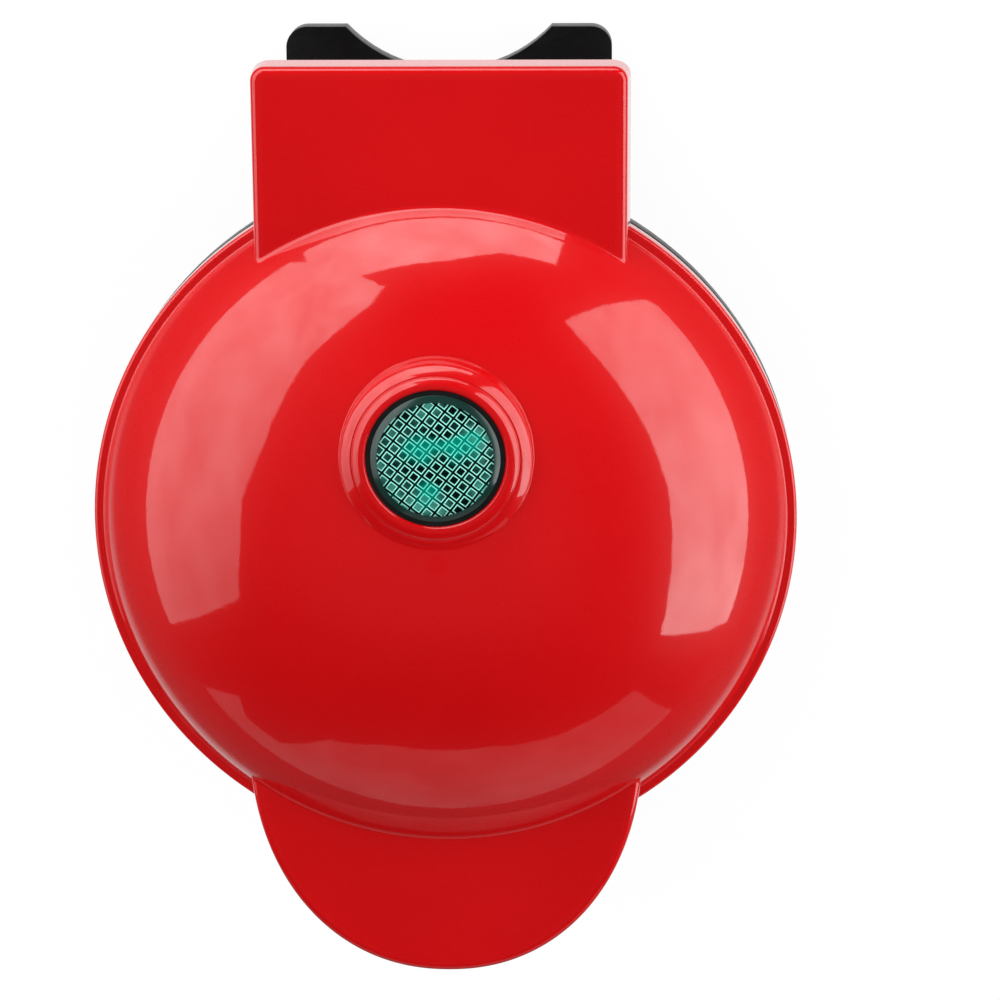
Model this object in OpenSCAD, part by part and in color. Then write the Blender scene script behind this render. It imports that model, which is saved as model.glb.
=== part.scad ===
// Compact round waffle maker: a domed lid hinged at the back to a bowl-shaped base.
// Millimetres. +Z is up, the handle points to -Y and the hinge lies towards +Y.
// The origin lies on the table, below the centre of the waffle plates.

/* [Brims] */
// Height above the table of the plane between lid and base
parting_h = 37; // [36:0.5:42]
// Outer radius of both round brims
brim_r = 63.5; // [62.5:0.5:67]
// Gap between the two brims when the lid is shut
brim_gap = 0.8; // [0.7:0.1:1.2]
// Height of the upright band of each brim
skirt_h = 4.2; // [4.2:0.1:5.5]

/* [Lid housing] */
// Wall of the lid housing
lid_wall = 2; // [1.6:0.1:2.2]
// Width of the flat ledge between the brim's edge and the dome
ledge_w = 1.9; // [1.4:0.1:2.5]
// Height of the dome above the ledge
dome_h = 28; // [27:0.5:31]
// Fullness of the dome's curve, where 2 is an ellipse
dome_power = 2.2; // [2.1:0.05:2.3]
// How far under the ledge the centre of the dome's curve lies
dome_sink = 14.8; // [12:0.2:16]
// Width of the hinge block
block_w = 65.5; // [60:0.5:70]
// How far the hinge block reaches beyond the round brim
block_out = 19.5; // [18:0.5:24]
// Height of the hinge block and the handle above the ledge
block_rise = 5.5; // [5:0.5:8]
// Radius of the hinge block's upright corners
block_corner_r = 2.5; // [1.5:0.5:5]
// Half width of the handle's oval
handle_half_w = 36; // [30:0.5:38]
// How far inside the brim's edge the centre of the handle's oval lies
handle_root = 23.5; // [20:0.5:27]
// How far the handle reaches beyond the round brim
handle_out = 21.5; // [18:0.1:26]
// Fullness of the handle's oval, where 2 is an ellipse
handle_power = 2.15; // [2:0.05:2.6]

/* [Indicator] */
// Distance from the plates' centre back to the indicator
lens_y = 19.3; // [16:0.1:22]
// Height of the indicator's ring above the ledge
ring_rise = 29.2; // [28.8:0.1:30]
// Radius of the ring's bore
ring_bore_r = 12; // [11:0.1:13]
// Width of the ring's flat top around the bore
ring_flat_w = 1.1; // [0.8:0.1:2]
// Radius of the ring's soft shoulder
ring_shoulder_r = 5; // [4:0.5:6]
// Thickness of the seal between ring and lens
seal_t = 0.7; // [0.5:0.1:1]
// Height of the lens crown above its edge
lens_crown = 0.9; // [0.5:0.1:1.5]
// Thickness of the lens
lens_t = 1.5; // [1.2:0.1:2]
// Radius of the neon lamp
lamp_r = 2.4; // [2:0.1:3]

/* [Base housing] */
// Wall of the base housing
base_wall = 2.2; // [1.8:0.1:2.4]
// Thickness of the base housing's floor
floor_t = 3; // [3:0.1:3.6]
// Depth of the full curve that the bowl's outline follows
bowl_depth = 36; // [35:0.5:40]
// Fullness of the bowl's curve
bowl_power = 2.8; // [2.6:0.05:3.2]
// How far the base's hinge block is narrower than the lid's, on each side
base_block_inset = 1; // [0.6:0.1:3]
// Half width over the two rear legs
ear_half_w = 30; // [28:0.5:32]
// How far the rear legs reach out past the lid's hinge block
ear_out = 2.1; // [0:0.1:2.5]
// Thickness of the rear legs
ear_t = 5; // [4:0.5:6]
// Radius of the rear legs' outer corners
ear_corner_r = 3.8; // [2:0.2:5]
// Radius of the round notch between the rear legs
notch_r = 26; // [24:0.5:28]
// Height that the rubber feet hold the base above the table
foot_h = 2.5; // [2:0.1:4]
// Radius of a rubber foot
foot_r = 4.6; // [4:0.1:5]
// How far inside the brim's edge the rubber feet stand
foot_margin = 24.5; // [23.5:0.5:25.5]
// How far inside the brim's edge the cover under the base ends
cover_margin = 29.5; // [29.5:0.5:31.5]
// Thickness of the cover under the base
cover_t = 1.6; // [1.4:0.1:1.8]

/* [Hinge] */
// Distance from the hinge axis to the back of the hinge block
hinge_inset = 7.5; // [7.3:0.1:8.5]
// Height of the hinge axis above the lid's lower edge
hinge_rise = 1.1; // [0.8:0.1:1.5]
// Angle that the lid opens to
open_angle = 105; // [90:1:110]
// Radius of a hinge pin
pin_r = 2; // [1.6:0.1:2.2]
// Running clearance around a hinge pin
pin_clearance = 0.05; // [0.02:0.01:0.1]
// Radius of the base's hinge knuckles
knuckle_r = 4.6; // [4:0.1:4.8]
// Width of one base knuckle
knuckle_w = 9.6; // [7:0.2:11]
// Radius of the lid's hinge lugs
lug_r = 4.8; // [4.2:0.1:5]
// Thickness of one lid lug
lug_w = 4; // [3:0.5:5]
// Sideways gap between lug, knuckle and pin head
lug_gap = 0.4; // [0.3:0.05:0.6]
// Radius of the wire sleeves at the hinge
sleeve_r = 1.6; // [1.2:0.1:1.7]

/* [Plates and heaters] */
// How far inside the brim's edge a waffle plate's rim ends
plate_margin = 11; // [10.5:0.5:12]
// Width of a waffle plate's flat rim
plate_rim_w = 3; // [2.5:0.5:4.5]
// Depth of the baking hollow
plate_depth = 8; // [7.5:0.25:9]
// Wall of a waffle plate
plate_wall = 2.4; // [2:0.1:2.6]
// Gap between the two plates' rims
plate_gap = 0.6; // [0.4:0.1:0.8]
// Spacing of the baking studs
stud_pitch = 13; // [12:0.5:16]
// Width of a baking stud at its foot
stud_foot_w = 9.6; // [8:0.2:10]
// Width of a baking stud at its tip
stud_tip_w = 7.4; // [6:0.2:8]
// Height of a baking stud
stud_h = 5.5; // [4:0.25:6]
// Thickness of the frames around the plates
frame_t = 1.9; // [1.6:0.1:2]
// Radius of the heater's tube
heater_tube_r = 3.2; // [2.5:0.1:3.4]
// Gap between the heater's bend and the baking hollow's edge, seen from above
heater_margin = 23.5; // [22.5:0.5:25]
// How much longer the heater's straight legs are than its bend's radius
heater_leg_more = 6; // [0:0.5:7]
// Thickness of the clamp that holds a heater down
clamp_t = 1.2; // [0.8:0.1:1.3]
// How far inside a plate's rim its heat shield ends
shield_margin = 12.5; // [12:0.5:13]
// Thickness of a heat shield
shield_t = 0.6; // [0.5:0.1:0.8]
// Distance of a heat shield from the back of its plate
shield_stand = 8; // [8:0.1:8.6]
// Radius of the thermostat
thermostat_r = 7.6; // [6.5:0.1:7.8]

/* [Cord inlet] */
// Radius of the cord's way through the gland
cord_bore_r = 3.4; // [2.8:0.1:3.6]
// Height of the cord's way above the table
cord_z = 17; // [16:0.5:18]
// Wall of the gland around the cord's way
gland_wall = 1.2; // [1:0.1:1.5]
// Length of the gland
gland_l = 6.5; // [6:0.5:8]

/* [Fasteners and wires] */
// Radius of a screw's shank
screw_r = 1.25; // [1:0.05:1.4]
// Radius of a screw's head
screw_head_r = 2.3; // [2:0.05:2.4]
// Height of a screw's head
screw_head_h = 1.2; // [1:0.05:1.3]
// Length of a screw in what it holds to
screw_bite = 4; // [3:0.25:5]
// Radius of a screw boss
boss_r = 3; // [2.6:0.1:3.2]
// Radius of one insulated wire
wire_r = 0.8; // [0.6:0.05:0.9]
// Clearance between a fixed piece and what it fits in
fit = 0.2; // [0.1:0.05:0.3]

/* [Hidden] */
$fn = 96;

// Plan sizes that follow the round brim
block_reach = brim_r + block_out;
handle_centre = brim_r - handle_root;
handle_reach = brim_r + handle_out;
ear_reach = block_reach + ear_out;
foot_ring_r = brim_r - foot_margin;
cover_r = brim_r - cover_margin;
plate_rim_r = brim_r - plate_margin;
cook_r = plate_rim_r - plate_rim_w;
heater_bend_r = cook_r - heater_margin;
heater_leg = heater_bend_r + heater_leg_more;
shield_r = plate_rim_r - shield_margin;
// Half frame: its z runs from the parting plane into either half
seat_h = brim_gap / 2 + skirt_h - lid_wall;
rim_h = plate_gap / 2;
rim_t = 2.2;
baking_h = rim_h + plate_depth;
back_h = baking_h + plate_wall;
cook_floor_r = cook_r - 1.2;
touch = 0.05;
heater_h = back_h + heater_tube_r + touch;
clamp_h = heater_h + heater_tube_r + touch;
shield_h = back_h + shield_stand;
shield_lip = shield_stand - 2 * heater_tube_r - 2 * touch - 0.3;
shield_post_r = 3.2;
shield_post_ring_r = shield_r - 5;
control_y = -15;
control_hole_r = 6;
// Heights in the lid
lid_edge_z = parting_h + brim_gap / 2;
ledge_z = lid_edge_z + skirt_h;
lid_seat_z = ledge_z - lid_wall;
lid_top_z = ledge_z + block_rise;
ring_z = ledge_z + ring_rise;
// Heights in the base
base_edge_z = parting_h - brim_gap / 2;
band_z = base_edge_z - skirt_h;
base_seat_z = parting_h - seat_h;
floor_z = foot_h + floor_t;
bowl_drop = band_z - foot_h;
// Radii of the shells
dome_r = brim_r - ledge_w;
dome_full_h = dome_h + dome_sink;
dome_full_r = dome_r / pow(1 - pow(dome_sink / dome_full_h, dome_power), 1 / dome_power);
dome_mid_z = ledge_z - dome_sink;
bowl_r = brim_r - 1.3;
bowl_in_r = bowl_r - base_wall;
// Hinge
hinge_y = block_reach - hinge_inset;
hinge_z = lid_edge_z + hinge_rise;
lug_out_x = block_w / 2 - lid_wall - 4;
lug_in_x = lug_out_x - lug_w;
knuckle_out_x = lug_in_x - lug_gap;
knuckle_in_x = knuckle_out_x - knuckle_w;
// Base hinge block
base_block_half_w = block_w / 2 - base_block_inset;
base_block_top_y = hinge_y - 6;
base_block_reach = hinge_y - 3;
stop_gap = 0.4;
stop_rib_w = 5;
// Frames: where they end in the hinge block, and their screws
frame_back_y = hinge_y - 13;
frame_screw_x = block_w / 2 - 6.5;
frame_screw_y = frame_back_y - 6;
handle_screw_x = 14;
handle_screw_y = 14.6 - handle_reach;
front_screw_r = brim_r - 7;
front_screw_angle = 12;
plate_hole_r = plate_rim_r + 0.4;
// Plate lugs
plate_lug_tip_r = plate_rim_r + 5.7;
plate_screw_r = plate_rim_r + 3.1;
plate_lug_w = 8;
plate_lug_t = 2;
// Indicator
lens_flange_t = 1.5;
lens_seat_z = ring_z - 4.1;
lens_r = ring_bore_r - seal_t - 0.1;
lens_flange_r = ring_bore_r + 1.8;
lens_edge_z = ring_z - 0.2;
lens_pocket_r = lens_flange_r + 0.4;
holder_r = ring_bore_r + 1.5;
holder_wall = 1.6;
holder_drop = 5.7;
holder_ear_x = holder_r + 4;
holder_ear_z = lens_seat_z - lens_flange_t - 3.2;
holder_ear_t = 1.5;
lamp_h = 7;
// Cover, feet and cord
cover_lip_r = cover_r - 6;
cover_screw_ring_r = cover_r - 3;
pedestal_boss_h = 5;
gland_r = cord_bore_r + gland_wall;
gland_flange_r = gland_r + 0.9;
gland_flange_t = 1.4;
saddle_y = hinge_y - 15.5;
saddle_x = cord_bore_r + 4.6;
clamp_bar_h = 3.5 + cord_bore_r;
terminal_x = 8.5;
terminal_d = 10;
terminal_y = saddle_y - boss_r - 4;
sleeve_x = 8;
sleeve_back_y = hinge_y - 10.2;
lid_sleeve_y = frame_back_y - 4;
lid_sleeve_z = lid_seat_z + sleeve_r + touch;
base_sleeve_z = base_seat_z - 8;

function oval_point(a, b, power, t) = [a * pow(cos(t), 2 / power), b * pow(sin(t), 2 / power)];

// Half of an upright oval outline, from its widest point up to its top or to a lower cut
function rise_points(a, b, power, top = 90, steps = 26) =
    [for (i = [0:steps]) oval_point(a, b, power, top * i / steps)];

// The dome's curve with its skin moved inwards, from height z up to the middle
function dome_points(inset, z, steps = 26) =
    let(r = dome_full_r - inset, h = dome_full_h - inset, low = asin(pow((z - dome_mid_z) / h, dome_power / 2)))
    [for (i = [0:steps]) let(p = oval_point(r, h, dome_power, low + (90 - low) * i / steps))
        [i == steps ? 0 : p[0], dome_mid_z + p[1]]];

function ring_points(r, count, first) =
    [for (i = [0:count - 1]) [r * cos(first + i * 360 / count), r * sin(first + i * 360 / count)]];

// Places on the frames and plates
lid_frame_points = [
    [frame_screw_x, frame_screw_y], [-frame_screw_x, frame_screw_y],
    [handle_screw_x, handle_screw_y], [-handle_screw_x, handle_screw_y]
];
base_frame_points = [
    [frame_screw_x, frame_screw_y], [-frame_screw_x, frame_screw_y],
    [front_screw_r * sin(front_screw_angle), -front_screw_r * cos(front_screw_angle)],
    [-front_screw_r * sin(front_screw_angle), -front_screw_r * cos(front_screw_angle)]
];
plate_screw_points = ring_points(plate_screw_r, 4, 45);
shield_post_points = ring_points(shield_post_ring_r, 3, 0);
cover_screw_points = ring_points(cover_screw_ring_r, 4, 0);
foot_points = ring_points(foot_ring_r, 4, 45);

module at(points) {
    for (p = points) {
        translate(p) children();
    }
}

// The lid's half frame and, turned over, the base's
module in_lid() {
    translate([0, 0, parting_h]) children();
}

module in_base() {
    translate([0, 0, parting_h]) mirror([0, 0, 1]) children();
}

// A rectangle from y = back to y = front with round corners at its far end
module tongue(half_w, front, back, corner_r) {
    translate([-half_w, front]) square([2 * half_w, back - front - corner_r]);
    translate([corner_r - half_w, back - 2 * corner_r]) square([2 * (half_w - corner_r), 2 * corner_r]);
    for (side = [-1, 1]) {
        translate([side * (half_w - corner_r), back - corner_r]) circle(corner_r);
    }
}

module handle_outline(inset) {
    half = rise_points(handle_half_w - inset, handle_reach - inset - handle_centre, handle_power, 90, 20);
    right = [for (p = half) [p[0], -handle_centre - p[1]]];
    left = [for (i = [len(half) - 2:-1:0]) [-half[i][0], -handle_centre - half[i][1]]];
    polygon(concat([[handle_half_w - inset, -20]], right, left, [[inset - handle_half_w, -20]]));
}

module block_outline(half_w, back) {
    tongue(half_w, 20, back, block_corner_r);
}

// A countersunk screw: its head's flat top at z = 0, its shank towards +Z
module csk_screw(shank_l) {
    cylinder(h = screw_head_h, r1 = screw_head_r, r2 = screw_r, $fn = 32);
    translate([0, 0, screw_head_h / 2]) cylinder(h = shank_l - screw_head_h / 2, r = screw_r, $fn = 32);
}

module csk_hole(plate_t) {
    translate([0, 0, -0.01]) {
        cylinder(h = screw_head_h + fit, r1 = screw_head_r + fit, r2 = screw_r + fit / 2, $fn = 32);
        cylinder(h = plate_t + 0.02, r = screw_r + fit / 2, $fn = 32);
    }
}

// A pan-headed screw: its head above z = 0, its shank towards -Z
module pan_screw(shank_l) {
    cylinder(h = screw_head_h, r = screw_head_r, $fn = 32);
    translate([0, 0, -shank_l]) cylinder(h = shank_l + 0.5, r = screw_r, $fn = 32);
}

module screw_hole(depth) {
    translate([0, 0, -0.01]) cylinder(h = depth, r = screw_r + touch, $fn = 32);
}

function unit(v) = v / norm(v);

function turn_at(p, i) = acos(unit(p[i] - p[i - 1]) * unit(p[i + 1] - p[i]));

// How far before and after a bend's corner its round part begins and ends
function bend_reach(p, i, bend_r) = i == 0 || i == len(p) - 1 ? 0 : bend_r * tan(turn_at(p, i) / 2);

// A round rod from one point to another
module rod(from, to, r) {
    d = to - from;
    l = norm(d);
    translate(from) rotate([0, acos(d[2] / l), atan2(d[1], d[0])]) cylinder(h = l, r = r, $fn = 24);
}

// A quarter or less of a ring that joins two rods at point i
module bend(p, i, r, bend_r) {
    ahead = unit(p[i] - p[i - 1]);
    axis = unit(cross(ahead, p[i + 1] - p[i]));
    out = -cross(axis, ahead);
    c = p[i] - bend_reach(p, i, bend_r) * ahead - bend_r * out;
    multmatrix([
        [out[0], ahead[0], axis[0], c[0]], [out[1], ahead[1], axis[1], c[1]], [out[2], ahead[2], axis[2], c[2]],
        [0, 0, 0, 1]
    ])
        rotate_extrude(angle = turn_at(p, i)) translate([bend_r, 0]) circle(r, $fn = 24);
}

// A wire along its points, with a small ball at each bend
module wire(points, r) {
    for (i = [0:len(points) - 2]) {
        rod(points[i], points[i + 1], r);
    }
    for (i = [1:len(points) - 2]) {
        translate(points[i]) sphere(r * 1.06, $fn = 24);
    }
}

// A sleeve that follows its points, with round bends
module bent_sleeve(p, r) {
    bend_r = 1.2 * r;
    for (i = [0:len(p) - 2]) {
        ahead = unit(p[i + 1] - p[i]);
        rod(p[i] + bend_reach(p, i, bend_r) * ahead, p[i + 1] - bend_reach(p, i + 1, bend_r) * ahead, r);
    }
    for (i = [1:len(p) - 2]) {
        bend(p, i, r, bend_r);
    }
}

module hinge_cylinder(x_from, x_to, r) {
    translate([x_from, hinge_y, hinge_z]) rotate([0, 90, 0]) cylinder(h = x_to - x_from, r = r, $fn = 48);
}

// ---- Lid housing ----

module lid_outer() {
    rotate_extrude() polygon(concat(
        [[0, lid_edge_z], [brim_r, lid_edge_z], [brim_r, ledge_z]],
        dome_points(0, ledge_z)
    ));
    translate([0, 0, lid_edge_z]) linear_extrude(lid_top_z - lid_edge_z) block_outline(block_w / 2, block_reach);
    translate([0, 0, lid_edge_z]) linear_extrude(lid_top_z - lid_edge_z) handle_outline(0);
    ring_mound();
}

module ring_mound() {
    flat_r = ring_bore_r + ring_flat_w;
    low_z = ring_z - 2 * ring_shoulder_r;
    shoulder = [for (a = [0:15:90]) [flat_r + ring_shoulder_r * cos(a), ring_z - ring_shoulder_r * (1 - sin(a))]];
    translate([0, lens_y, 0])
        rotate_extrude() polygon(concat([[0, low_z], [flat_r + ring_shoulder_r, low_z]], shoulder, [[0, ring_z]]));
}

module lid_void() {
    low_z = lid_edge_z - 1;
    translate([0, 0, low_z]) cylinder(h = lid_seat_z - low_z, r = brim_r - lid_wall);
    rotate_extrude() polygon(concat(
        [[0, low_z], [dome_points(lid_wall, lid_seat_z)[0][0], low_z]],
        dome_points(lid_wall, lid_seat_z)
    ));
    translate([0, 0, low_z]) linear_extrude(lid_top_z - lid_wall - low_z)
        block_outline(block_w / 2 - lid_wall, block_reach - lid_wall);
    translate([0, 0, low_z]) linear_extrude(lid_top_z - lid_wall - low_z) handle_outline(lid_wall);
}

module lid_bosses() {
    translate([0, 0, lid_seat_z]) at(lid_frame_points) cylinder(h = dome_h, r = boss_r, $fn = 32);
    translate([0, lens_y, holder_ear_z + holder_ear_t])
        for (side = [-1, 1]) {
            translate([side * holder_ear_x, 0, 0]) cylinder(h = dome_h, r = boss_r, $fn = 32);
        }
}

module lid_lugs() {
    for (side = [-1, 1]) {
        x = side > 0 ? lug_in_x : -lug_out_x;
        hinge_cylinder(x, x + lug_w, lug_r);
        translate([x, hinge_y - lug_r + 0.7, hinge_z])
            cube([lug_w, 2 * lug_r - 1.4, lid_top_z - lid_wall / 2 - hinge_z]);
    }
}

module upper_housing() {
    color([0.8, 0.05, 0.07])
        difference() {
            union() {
                difference() {
                    lid_outer();
                    difference() {
                        lid_void();
                        lid_bosses();
                    }
                }
                lid_lugs();
            }
            hinge_cylinder(-block_w / 2 + lid_wall, block_w / 2 - lid_wall, pin_r + pin_clearance);
            translate([0, lens_y, lens_seat_z - 6]) cylinder(h = 6, r = lens_pocket_r);
            translate([0, lens_y, lens_seat_z - 1]) cylinder(h = 8, r = ring_bore_r);
            translate([0, 0, lid_seat_z]) at(lid_frame_points) screw_hole(screw_bite + 0.5);
            translate([0, lens_y, holder_ear_z + holder_ear_t])
                for (side = [-1, 1]) {
                    translate([side * holder_ear_x, 0, 0]) screw_hole(3);
                }
        }
}

// ---- Pieces that both halves have, in the half frame ----

// A ring around the plate that fills the brim, the hinge block and any child outline
module frame(outer_r, half_w, back, points) {
    translate([0, 0, seat_h - frame_t]) difference() {
        union() {
            cylinder(h = frame_t, r = outer_r);
            linear_extrude(frame_t) block_outline(half_w, back);
            if ($children > 0) linear_extrude(frame_t) children();
        }
        translate([0, 0, -1]) cylinder(h = frame_t + 2, r = plate_hole_r);
        at(points) csk_hole(frame_t);
        at(plate_screw_points) csk_hole(frame_t);
    }
}

module stud_rows() {
    count = floor(cook_r / stud_pitch);
    for (i = [-count:count]) {
        translate([i * stud_pitch, 0, 0]) rotate([90, 0, 0]) linear_extrude(2 * cook_r, center = true)
            polygon([
                [-stud_foot_w / 2, baking_h + 0.5], [stud_foot_w / 2, baking_h + 0.5],
                [stud_foot_w / 2, baking_h], [stud_tip_w / 2, baking_h - stud_h],
                [-stud_tip_w / 2, baking_h - stud_h], [-stud_foot_w / 2, baking_h]
            ]);
    }
}

module waffle_plate() {
    difference() {
        union() {
            rotate_extrude() polygon([
                [0, baking_h], [cook_floor_r, baking_h], [cook_r, rim_h], [plate_rim_r, rim_h],
                [plate_rim_r, rim_h + rim_t], [cook_r + plate_wall, rim_h + rim_t],
                [cook_floor_r + plate_wall, back_h], [0, back_h]
            ]);
            intersection() {
                stud_rows();
                rotate([0, 0, 90]) stud_rows();
                cylinder(h = back_h, r = cook_floor_r - 1.6);
            }
            for (a = [45:90:315]) {
                rotate(a) translate([cook_r + 0.8, -plate_lug_w / 2, seat_h])
                    cube([plate_lug_tip_r - cook_r - 0.8, plate_lug_w, plate_lug_t]);
            }
            translate([0, 0, back_h - 0.5]) at(shield_post_points)
                cylinder(h = shield_stand + 0.5, r = shield_post_r, $fn = 32);
            translate([0, 0, back_h - 0.5])
                cylinder(h = clamp_h - back_h + 0.5, r = shield_post_r + 1, $fn = 32);
        }
        translate([0, 0, seat_h]) at(plate_screw_points) screw_hole(plate_lug_t + 1);
        translate([0, 0, shield_h - screw_bite - 0.5]) at(shield_post_points) screw_hole(screw_bite + 1);
        translate([0, 0, clamp_h - screw_bite - 0.5]) screw_hole(screw_bite + 1);
    }
}

module heater() {
    pin_l = 3;
    translate([0, 0, heater_h]) {
        rotate([0, 0, 180]) rotate_extrude(angle = 180) translate([heater_bend_r, 0]) circle(heater_tube_r, $fn = 32);
        for (side = [-1, 1]) {
            translate([side * heater_bend_r, 0, 0]) rotate([-90, 0, 0]) {
                cylinder(h = heater_leg, r = heater_tube_r, $fn = 32);
                cylinder(h = heater_leg + pin_l, r = heater_tube_r - 0.8, $fn = 32);
                cylinder(h = heater_leg + 2 * pin_l, r = wire_r + 0.2, $fn = 32);
            }
        }
    }
}

module heater_clamp() {
    arm_l = heater_bend_r + heater_tube_r;
    translate([0, 0, clamp_h])
        difference() {
            union() {
                cylinder(h = clamp_t, r = 9);
                for (a = [0, 180, 225, 315]) {
                    rotate(a) translate([0, -3, 0]) cube([arm_l, 6, clamp_t]);
                }
            }
            translate([0, 0, -1]) cylinder(h = clamp_t + 2, r = screw_r + fit / 2, $fn = 32);
        }
}

module heat_shield() {
    translate([0, 0, shield_h])
        difference() {
            union() {
                cylinder(h = shield_t, r = shield_r);
                translate([0, 0, -shield_lip])
                    difference() {
                        cylinder(h = shield_lip + shield_t / 2, r = shield_r);
                        translate([0, 0, -1]) cylinder(h = shield_lip + 3, r = shield_r - shield_t);
                    }
            }
            at(shield_post_points) translate([0, 0, -1]) cylinder(h = shield_t + 2, r = screw_r + fit / 2, $fn = 32);
            translate([0, control_y, -1]) cylinder(h = shield_t + 2, r = control_hole_r, $fn = 48);
            translate([0, 0, -1]) cylinder(h = shield_t + 2, r = screw_head_r + 0.5, $fn = 32);
        }
}

module frame_screws(points) {
    translate([0, 0, seat_h - frame_t]) at(points) csk_screw(frame_t + screw_bite);
}

module plate_screws() {
    translate([0, 0, seat_h - frame_t]) at(plate_screw_points) csk_screw(frame_t + plate_lug_t);
}

// The heat shield's screws, and the one that holds the heater clamp
module shield_screws() {
    translate([0, 0, shield_h + shield_t]) at(shield_post_points) pan_screw(shield_t + screw_bite);
    translate([0, 0, clamp_h + clamp_t]) pan_screw(clamp_t + screw_bite);
}

// ---- Lid ----

module upper_frame() {
    color([0.07, 0.07, 0.07])
        in_lid()
            frame(brim_r - lid_wall - fit, block_w / 2 - lid_wall - fit, frame_back_y, lid_frame_points)
                handle_outline(lid_wall + fit);
}

module upper_plate() {
    color([0.13, 0.13, 0.14]) in_lid() waffle_plate();
}

module upper_heater() {
    color([0.45, 0.44, 0.42]) in_lid() heater();
}

module upper_heater_clamp() {
    color([0.7, 0.71, 0.72]) in_lid() heater_clamp();
}

module upper_heat_shield() {
    color([0.8, 0.81, 0.82]) in_lid() heat_shield();
}

module upper_frame_screws() {
    color([0.55, 0.55, 0.56]) in_lid() frame_screws(lid_frame_points);
}

module upper_plate_screws() {
    color([0.55, 0.55, 0.56]) in_lid() plate_screws();
}

module upper_shield_screws() {
    color([0.6, 0.6, 0.61]) in_lid() shield_screws();
}

module indicator_lens() {
    crown = [for (a = [0:15:90]) [lens_r * cos(a), lens_edge_z + lens_crown * sin(a)]];
    color([0.05, 0.4, 0.34, 0.6])
        translate([0, lens_y, 0]) rotate_extrude() polygon(concat(
            [
                [0, lens_edge_z - lens_t], [lens_r - lens_t, lens_edge_z - lens_t],
                [lens_r - lens_t, lens_seat_z - lens_flange_t],
                [lens_flange_r, lens_seat_z - lens_flange_t], [lens_flange_r, lens_seat_z],
                [lens_r, lens_seat_z]
            ],
            [for (p = crown) [max(p[0], 0), p[1]]]
        ));
}

module lens_seal() {
    color([0.03, 0.03, 0.03])
        translate([0, lens_y, lens_seat_z]) difference() {
            cylinder(h = lens_edge_z - lens_seat_z - 0.2, r = ring_bore_r - touch);
            translate([0, 0, -1]) cylinder(h = ring_z, r = lens_r + touch);
        }
}

module lamp_holder() {
    top_z = lens_seat_z - lens_flange_t;
    low_z = top_z - holder_drop;
    color([0.85, 0.84, 0.8])
        translate([0, lens_y, 0]) difference() {
            union() {
                translate([0, 0, low_z]) cylinder(h = holder_drop, r = holder_r);
                translate([-holder_ear_x - 3, -3.5, holder_ear_z])
                    cube([2 * holder_ear_x + 6, 7, holder_ear_t]);
            }
            translate([0, 0, low_z + holder_wall]) cylinder(h = holder_drop, r = holder_r - holder_wall);
            translate([0, 0, low_z - 1]) cylinder(h = 5, r = lamp_r - 0.6, $fn = 48);
            for (side = [-1, 1]) {
                translate([side * holder_ear_x, 0, holder_ear_z - 1])
                    cylinder(h = holder_ear_t + 2, r = screw_r + fit / 2, $fn = 32);
            }
        }
}

module lamp_screws() {
    color([0.6, 0.6, 0.61])
        translate([0, lens_y, holder_ear_z]) mirror([0, 0, 1])
            for (side = [-1, 1]) {
                translate([side * holder_ear_x, 0, 0]) pan_screw(holder_ear_t + 2.5);
            }
}

module neon_lamp() {
    low_z = lens_seat_z - lens_flange_t - holder_drop + holder_wall + touch;
    color([1, 0.6, 0.3, 0.7])
        translate([0, lens_y, low_z]) {
            cylinder(h = lamp_h - lamp_r / 2, r = lamp_r, $fn = 48);
            translate([0, 0, lamp_h - lamp_r / 2]) cylinder(h = lamp_r / 2, r1 = lamp_r, r2 = lamp_r / 2, $fn = 48);
        }
}

module thermostat() {
    color([0.75, 0.74, 0.7])
        in_lid() translate([0, control_y, back_h + touch]) {
            cylinder(h = 3, r = thermostat_r, $fn = 64);
            cylinder(h = 5.6, r = thermostat_r - 1.6, $fn = 64);
            for (side = [-1, 1]) {
                translate([side * 3.4 - 0.4, -1.5, 3]) cube([0.8, 3, 4]);
            }
        }
}

module lid_sleeve() {
    color([0.88, 0.87, 0.82])
        wire([
            [0.2, hinge_y, hinge_z], [sleeve_x, hinge_y, hinge_z], [sleeve_x, hinge_y, lid_sleeve_z],
            [sleeve_x, lid_sleeve_y, lid_sleeve_z]
        ], sleeve_r);
}

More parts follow.
